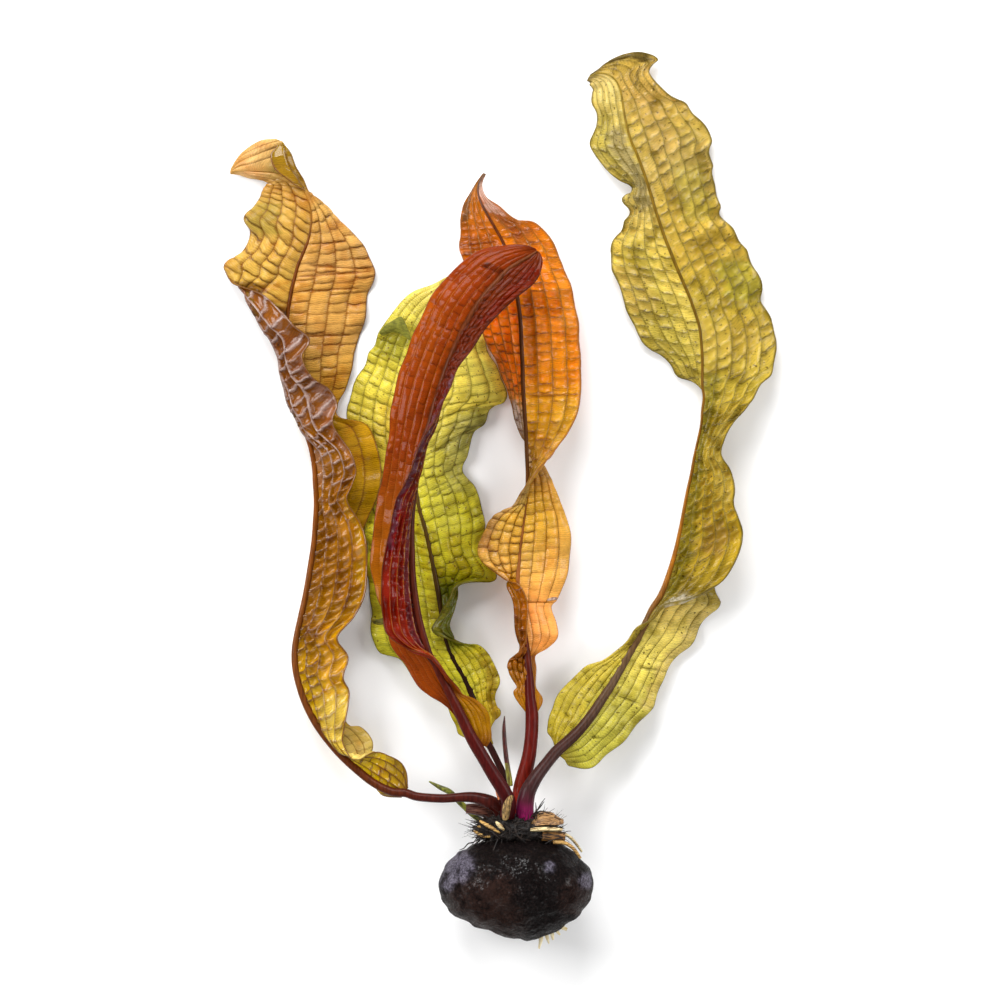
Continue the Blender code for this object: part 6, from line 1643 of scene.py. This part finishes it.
        creases=(Crease(RIGHT, 33.6, 0.0, 0.1, 1.0, 0.35, 0.3), Crease(RIGHT, 34.2, 0.0, 0.1, 1.0, 0.35, 0.3),
                 Crease(RIGHT, 10.6, 0.0, 0.0, 1.0, 0.5, 0.35), Crease(LEFT, 26.4, 0.0, 0.1, 1.0, 0.4, 0.35)),
        spine=((0.0, "#A02418"), (0.05, "#6A180C"), (0.10, "#520E08"), (0.22, "#400C08"), (0.30, "#5A200C"), (0.36, "#8A5224"),
               (0.5, "#7A481C"), (0.62, "#4A2A0C"), (0.9, "#52240A"), (1.0, "#5A4A40")),
        midrib_radii=(1.1, 0.9, 0.55, 0.45, 0.5, 0.52, 0.5, 0.35, 0.12),
        finish=ORANGE, under_finish=replace(ORANGE, name="glossy orange leaf underside", film=0.7),
        ripple=0.35, column_offset=0.3,
    ),
    Leaf(
        "leaf_right", RIGHT_LEAF_STATIONS, RIGHT_STALK_ROUTE, 2.5, veins=5, pitch=3.0, slants=(0.5, 0.20),
        quilts=((0, 0.10, 0.10), (4, 0.18, 0.18), (12, 0.28, 0.24), (18, 0.66, 0.20), (25, 0.62, 0.20),
                (30, 0.38, 0.34), (40, 0.42, 0.42), (48, 0.36, 0.28), (55, 0.05, 0.05)),
        cross=((0, 0.3, 0.2, 0.3, 0.2), (3, 0.8, 0.3, 0.3, 0.1), (6, 0.5, 0.4, 0.25, 0.5), (12, 0.5, 0.5, 0.35, 0.6),
               (15, 0.6, 0.4, 0.3, 0.3), (18, 1.0, 0.7, 0.5, 0.5), (26, 1.0, 0.9, 0.5, 0.6), (30, 0.8, 1.0, 0.9, 1.0),
               (45, 0.9, 1.0, 1.0, 1.0), (48, 0.8, 0.9, 0.4, 0.3), (51, 0.8, 0.7, 0.2, 0.1), (55, 0.1, 0.1, 0.1, 0.1)),
        tints=((0, "#A08A2C", "#A08A2C"), (2, "#BEAA3C", "#C4BC4E"), (5, "#C2B048", "#C4BA54"),
               (8, "#D0BC50", "#DECE64"), (11, "#CAB24A", "#ECDA78"), (13, "#A88E3A", "#F4DE84"),
               (15, "#9C842C", "#A08A34"), (17, "#C4A638", "#A08A34"), (20, "#D4B444", "#A08A34"),
               (23, "#CCB046", "#A08A34"), (26, "#CAB046", "#A89038"), (28, "#CCB448", "#D8C258"),
               (31, "#D4B854", "#DCC65E"), (34, "#CEB44C", "#E6CE66"), (37, "#DABA52", "#EED468"),
               (40, "#D2B454", "#D6BE6A"), (43, "#D6BA68", "#D2BC62"), (46, "#D8BC60", "#D8C268"),
               (49, "#D4B260", "#DCC878"), (52, "#C4A650", "#D8C076"), (55, "#7A6440", "#7A6440")),
        patches=(
            Patch(LEFT, 51.0, 54.8, 0.70, 1.0, "#4A380E", 0.8), Patch(LEFT, 53.8, 55, 0.0, 1.0, "#4E4048", 0.7),
            # The first patch, grey-lilac on the right half's wrinkles: a painted reflection.
            Patch(RIGHT, 40, 46, 0.1, 0.6, "#A89C84", 0.45), Patch(LEFT, 14, 29, 0.0, 0.26, "#7A721C", 0.6),
            Patch(LEFT, 13, 14.6, 0.4, 1.0, "#D8D0BC", 0.75), Patch(LEFT, 20, 26, 0.6, 1.0, "#C0A850", 0.5),
            Patch(LEFT, 30, 38, 0.35, 0.7, "#B8962E", 0.4), Patch(LEFT, 44, 49, 0.2, 0.6, "#C8A460", 0.4),
            Patch(RIGHT, 30, 38, 0.3, 0.8, "#B4A444", 0.4), Patch(RIGHT, 4, 12, 0.0, 0.16, "#9C8C34", 0.4),
            Patch(LEFT, 0, 8, 0.0, 0.25, "#A8A034", 0.4), Patch(RIGHT, 6, 13, 0.75, 1.0, "#C8AC6C", 0.5),
            Patch(LEFT, 9.5, 12.5, 0.0, 1.0, "#7E6420", 0.5), Patch(LEFT, 33, 36, 0.5, 1.0, "#A8A438", 0.5),
            Patch(LEFT, 39, 43, 0.4, 0.9, "#C0B44E", 0.45), Patch(RIGHT, 33, 36, 0.5, 1.0, "#C8A858", 0.45),
            Patch(LEFT, 17, 19, 0.4, 0.8, "#A87C3C", 0.5), Patch(RIGHT, 44, 47, 0.5, 1.0, "#B8A848", 0.5),
        ),
        spine=((0.0, "#861650"), (0.010, "#7A164A"), (0.022, "#4A1A28"), (0.035, "#341C1C"), (0.12, "#3A221A"), (0.2, "#54402C"),
               (0.28, "#5E4222"), (0.36, "#8A5412"), (0.45, "#7E4E0E"), (0.6, "#5E4408"), (0.8, "#6E5410"), (1.0, "#8A7428")),
        midrib_radii=(1.2, 0.9, 0.48, 0.34, 0.36, 0.42, 0.38, 0.25, 0.1),
        creases=(Crease(LEFT, 9.3, 0.3, 0.25, 0.42, 0.45, 0.4), Crease(LEFT, 8.2, 0.5, 0.5, 0.68, 0.45, 0.4),
                 Crease(LEFT, 10.2, 0.6, 0.6, 0.78, 0.45, 0.4), Crease(LEFT, 6.9, 0.2, 0.3, 0.48, 0.4, 0.4),
                 Crease(LEFT, 5.8, 0.6, 0.6, 0.8, 0.45, 0.4), Crease(LEFT, 4.4, 0.4, 0.4, 0.6, 0.4, 0.4),
                 Crease(LEFT, 2.6, 0.5, 0.45, 0.7, 0.5, 0.4), Crease(RIGHT, 2.4, 0.5, 0.3, 0.6, 0.5, 0.4),
                 Crease(RIGHT, 5.6, 0.2, 0.2, 0.7, 0.35, 0.4), Crease(RIGHT, 8.0, 0.3, 0.3, 0.8, 0.35, 0.4)),
        finish=OLIVE, under_finish=replace(OLIVE, name="olive leaf underside", film=0.5),
        ripple=0.6, ripple_length=7.5, column_offset=0.15,
    ),
)

STRANDS = (
    Strand("young_shoot", "young_shoot", ((504.5, 716, 14.6, 0.12), (504, 728, 14.7, 0.45), (504.6, 742, 14.8, 0.55),
                                          (506, 756, 15.0, 0.6), (507, 763, 15.1, 0.6)),
           BarkFinish("young shoot skin", "#2A0808", "#4E1A14", 0.0012, 0.4, 0.2)),
    Strand("young_shoot_foot", "young_shoot", ((506.6, 760, 15.0, 0.58), (508, 770, 15.2, 0.65), (509.5, 780, 15.4, 0.7),
                                               (510.5, 786, 15.6, 0.6)),
           BarkFinish("green shoot skin", "#4A3810", "#8E8A2C", 0.0010, 0.4, 0.2, stretch=(2.0, 0.3, 1.0))),
    Strand("young_leaf", "young_leaf", ((429, 782, 9.4, 0.2), (440, 788, 9.6, 0.6), (450, 793, 9.8, 0.75),
                                        (462, 805, 9.8, 0.75), (475, 817, 9.8, 0.75), (484, 823, 10.0, 0.7)),
           BarkFinish("young leaf skin", "#3E3E0C", "#84862A", 0.0014, 0.45, 0.2)),
    Strand("stalk_stub", "stalk_stub", ((466, 809, 12.8, 1.2), (476, 809.5, 12.8, 1.45), (485, 812, 12.5, 1.5),
                                        (491, 817, 12.0, 1.4)),
           BarkFinish("old stalk skin", "#3A1410", "#7E5040", 0.0009, 0.4, 0.2, stretch=(0.4, 2.0, 1.0))),
    Strand("orange_sheath", "orange_sheath", ((495.5, 787, 18.4, 0.2), (498, 793, 18.6, 0.5), (500, 799, 18.8, 0.5)),
           BarkFinish("orange sheath skin", "#8A3410", "#D8804A", 0.0010, 0.5)),
    Strand("root_tube", "root_tube", ((542, 835.5, 20.8, 1.2), (552, 836, 20.2, 1.3), (564, 836.5, 19.4, 1.3)),
           BarkFinish("brown root bark", "#1E1008", "#8E6434", 0.0009, 0.55, 0.15, stretch=(0.4, 1.6, 1.0))),
    Strand("root_pale", "root_pale", ((530, 829, 22.2, 0.4), (546, 828.5, 21.6, 0.5), (562, 829, 20.6, 0.35)), CREAM),
    Strand("root_hanging_long", "root_hanging_long", ((553, 841.5, 21.8, 0.45), (564, 842, 21.6, 0.5),
                                                      (573, 847.5, 21.2, 0.45), (580.5, 857.5, 20.6, 0.3)), STRAW),
    Strand("root_hanging_outer", "root_hanging_outer", ((563, 833, 15.0, 0.35), (572, 839, 14.2, 0.4),
                                                        (582, 852, 13.6, 0.25)), CREAM),
    Strand("root_straw_upper", "root_straw_upper", ((500, 832, 22.4, 0.2), (490, 826, 21.6, 0.5),
                                                    (480, 820.5, 19.6, 0.3)), STRAW),
    Strand("root_straw_middle", "root_straw_middle", ((494, 833, 20.6, 0.2), (485, 828, 19.4, 0.4),
                                                      (478, 826, 17.8, 0.25)), STRAW),
    Strand("root_straw_lower", "root_straw_lower", ((493, 836, 20.4, 0.2), (483, 835, 19.2, 0.5),
                                                    (474, 831, 17.0, 0.3)), STRAW),
    Strand("root_stub", "root_stub", ((504, 829, 23.2, 0.25), (500, 825, 23.4, 0.55), (496, 821, 22.8, 0.3)), CREAM),
    Strand("husk", "husk", HUSK_ROUTE, PAPER),
)

FLAPS = (
    Flap("base_scale_skin", "base_scale", BASE_SCALE_ROWS,
         BarkFinish("dry scale", "#20140A", "#A0804C", 0.0005, 0.6, 0.0, 0.0003, (2.4, 0.4, 1.0))),
    Flap("green_fold", "leaf_green", GREEN_FOLD_ROWS,
         BarkFinish("olive fold skin", "#5A5A14", "#7E7C24", 0.0010, 0.5, 0.15, stretch=(1.0, 2.0, 1.0))),
    Flap("green_lobe_fold", "leaf_green", GREEN_LOBE_ROWS,
         BarkFinish("dark fold skin", "#3C3A0C", "#86781E", 0.0018, 0.5, 0.15)),
    Flap("orange_tab", "leaf_orange", ORANGE_TAB_ROWS,
         BarkFinish("pale torn edge", "#6A5448", "#B49684", 0.0008, 0.5)),
    Flap("husk_shell", "husk", HUSK_ROWS[0], PAPER),
    Flap("husk_back", "husk", HUSK_ROWS[1], PAPER),
    Flap("husk_straw", "root_pale", HUSK_ROWS[2], CREAM, 0.0005),
)


def main() -> None:
    """Build the studio and the plant around the frame."""
    logging.basicConfig(level=logging.INFO, format="%(message)s")
    Studio().build()
    for leaf in LEAVES:
        leaf.build()
    Tuber().build()
    Crown().build()
    for piece in STRANDS + FLAPS:
        piece.build()


if __name__ == "__main__":
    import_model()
    main()
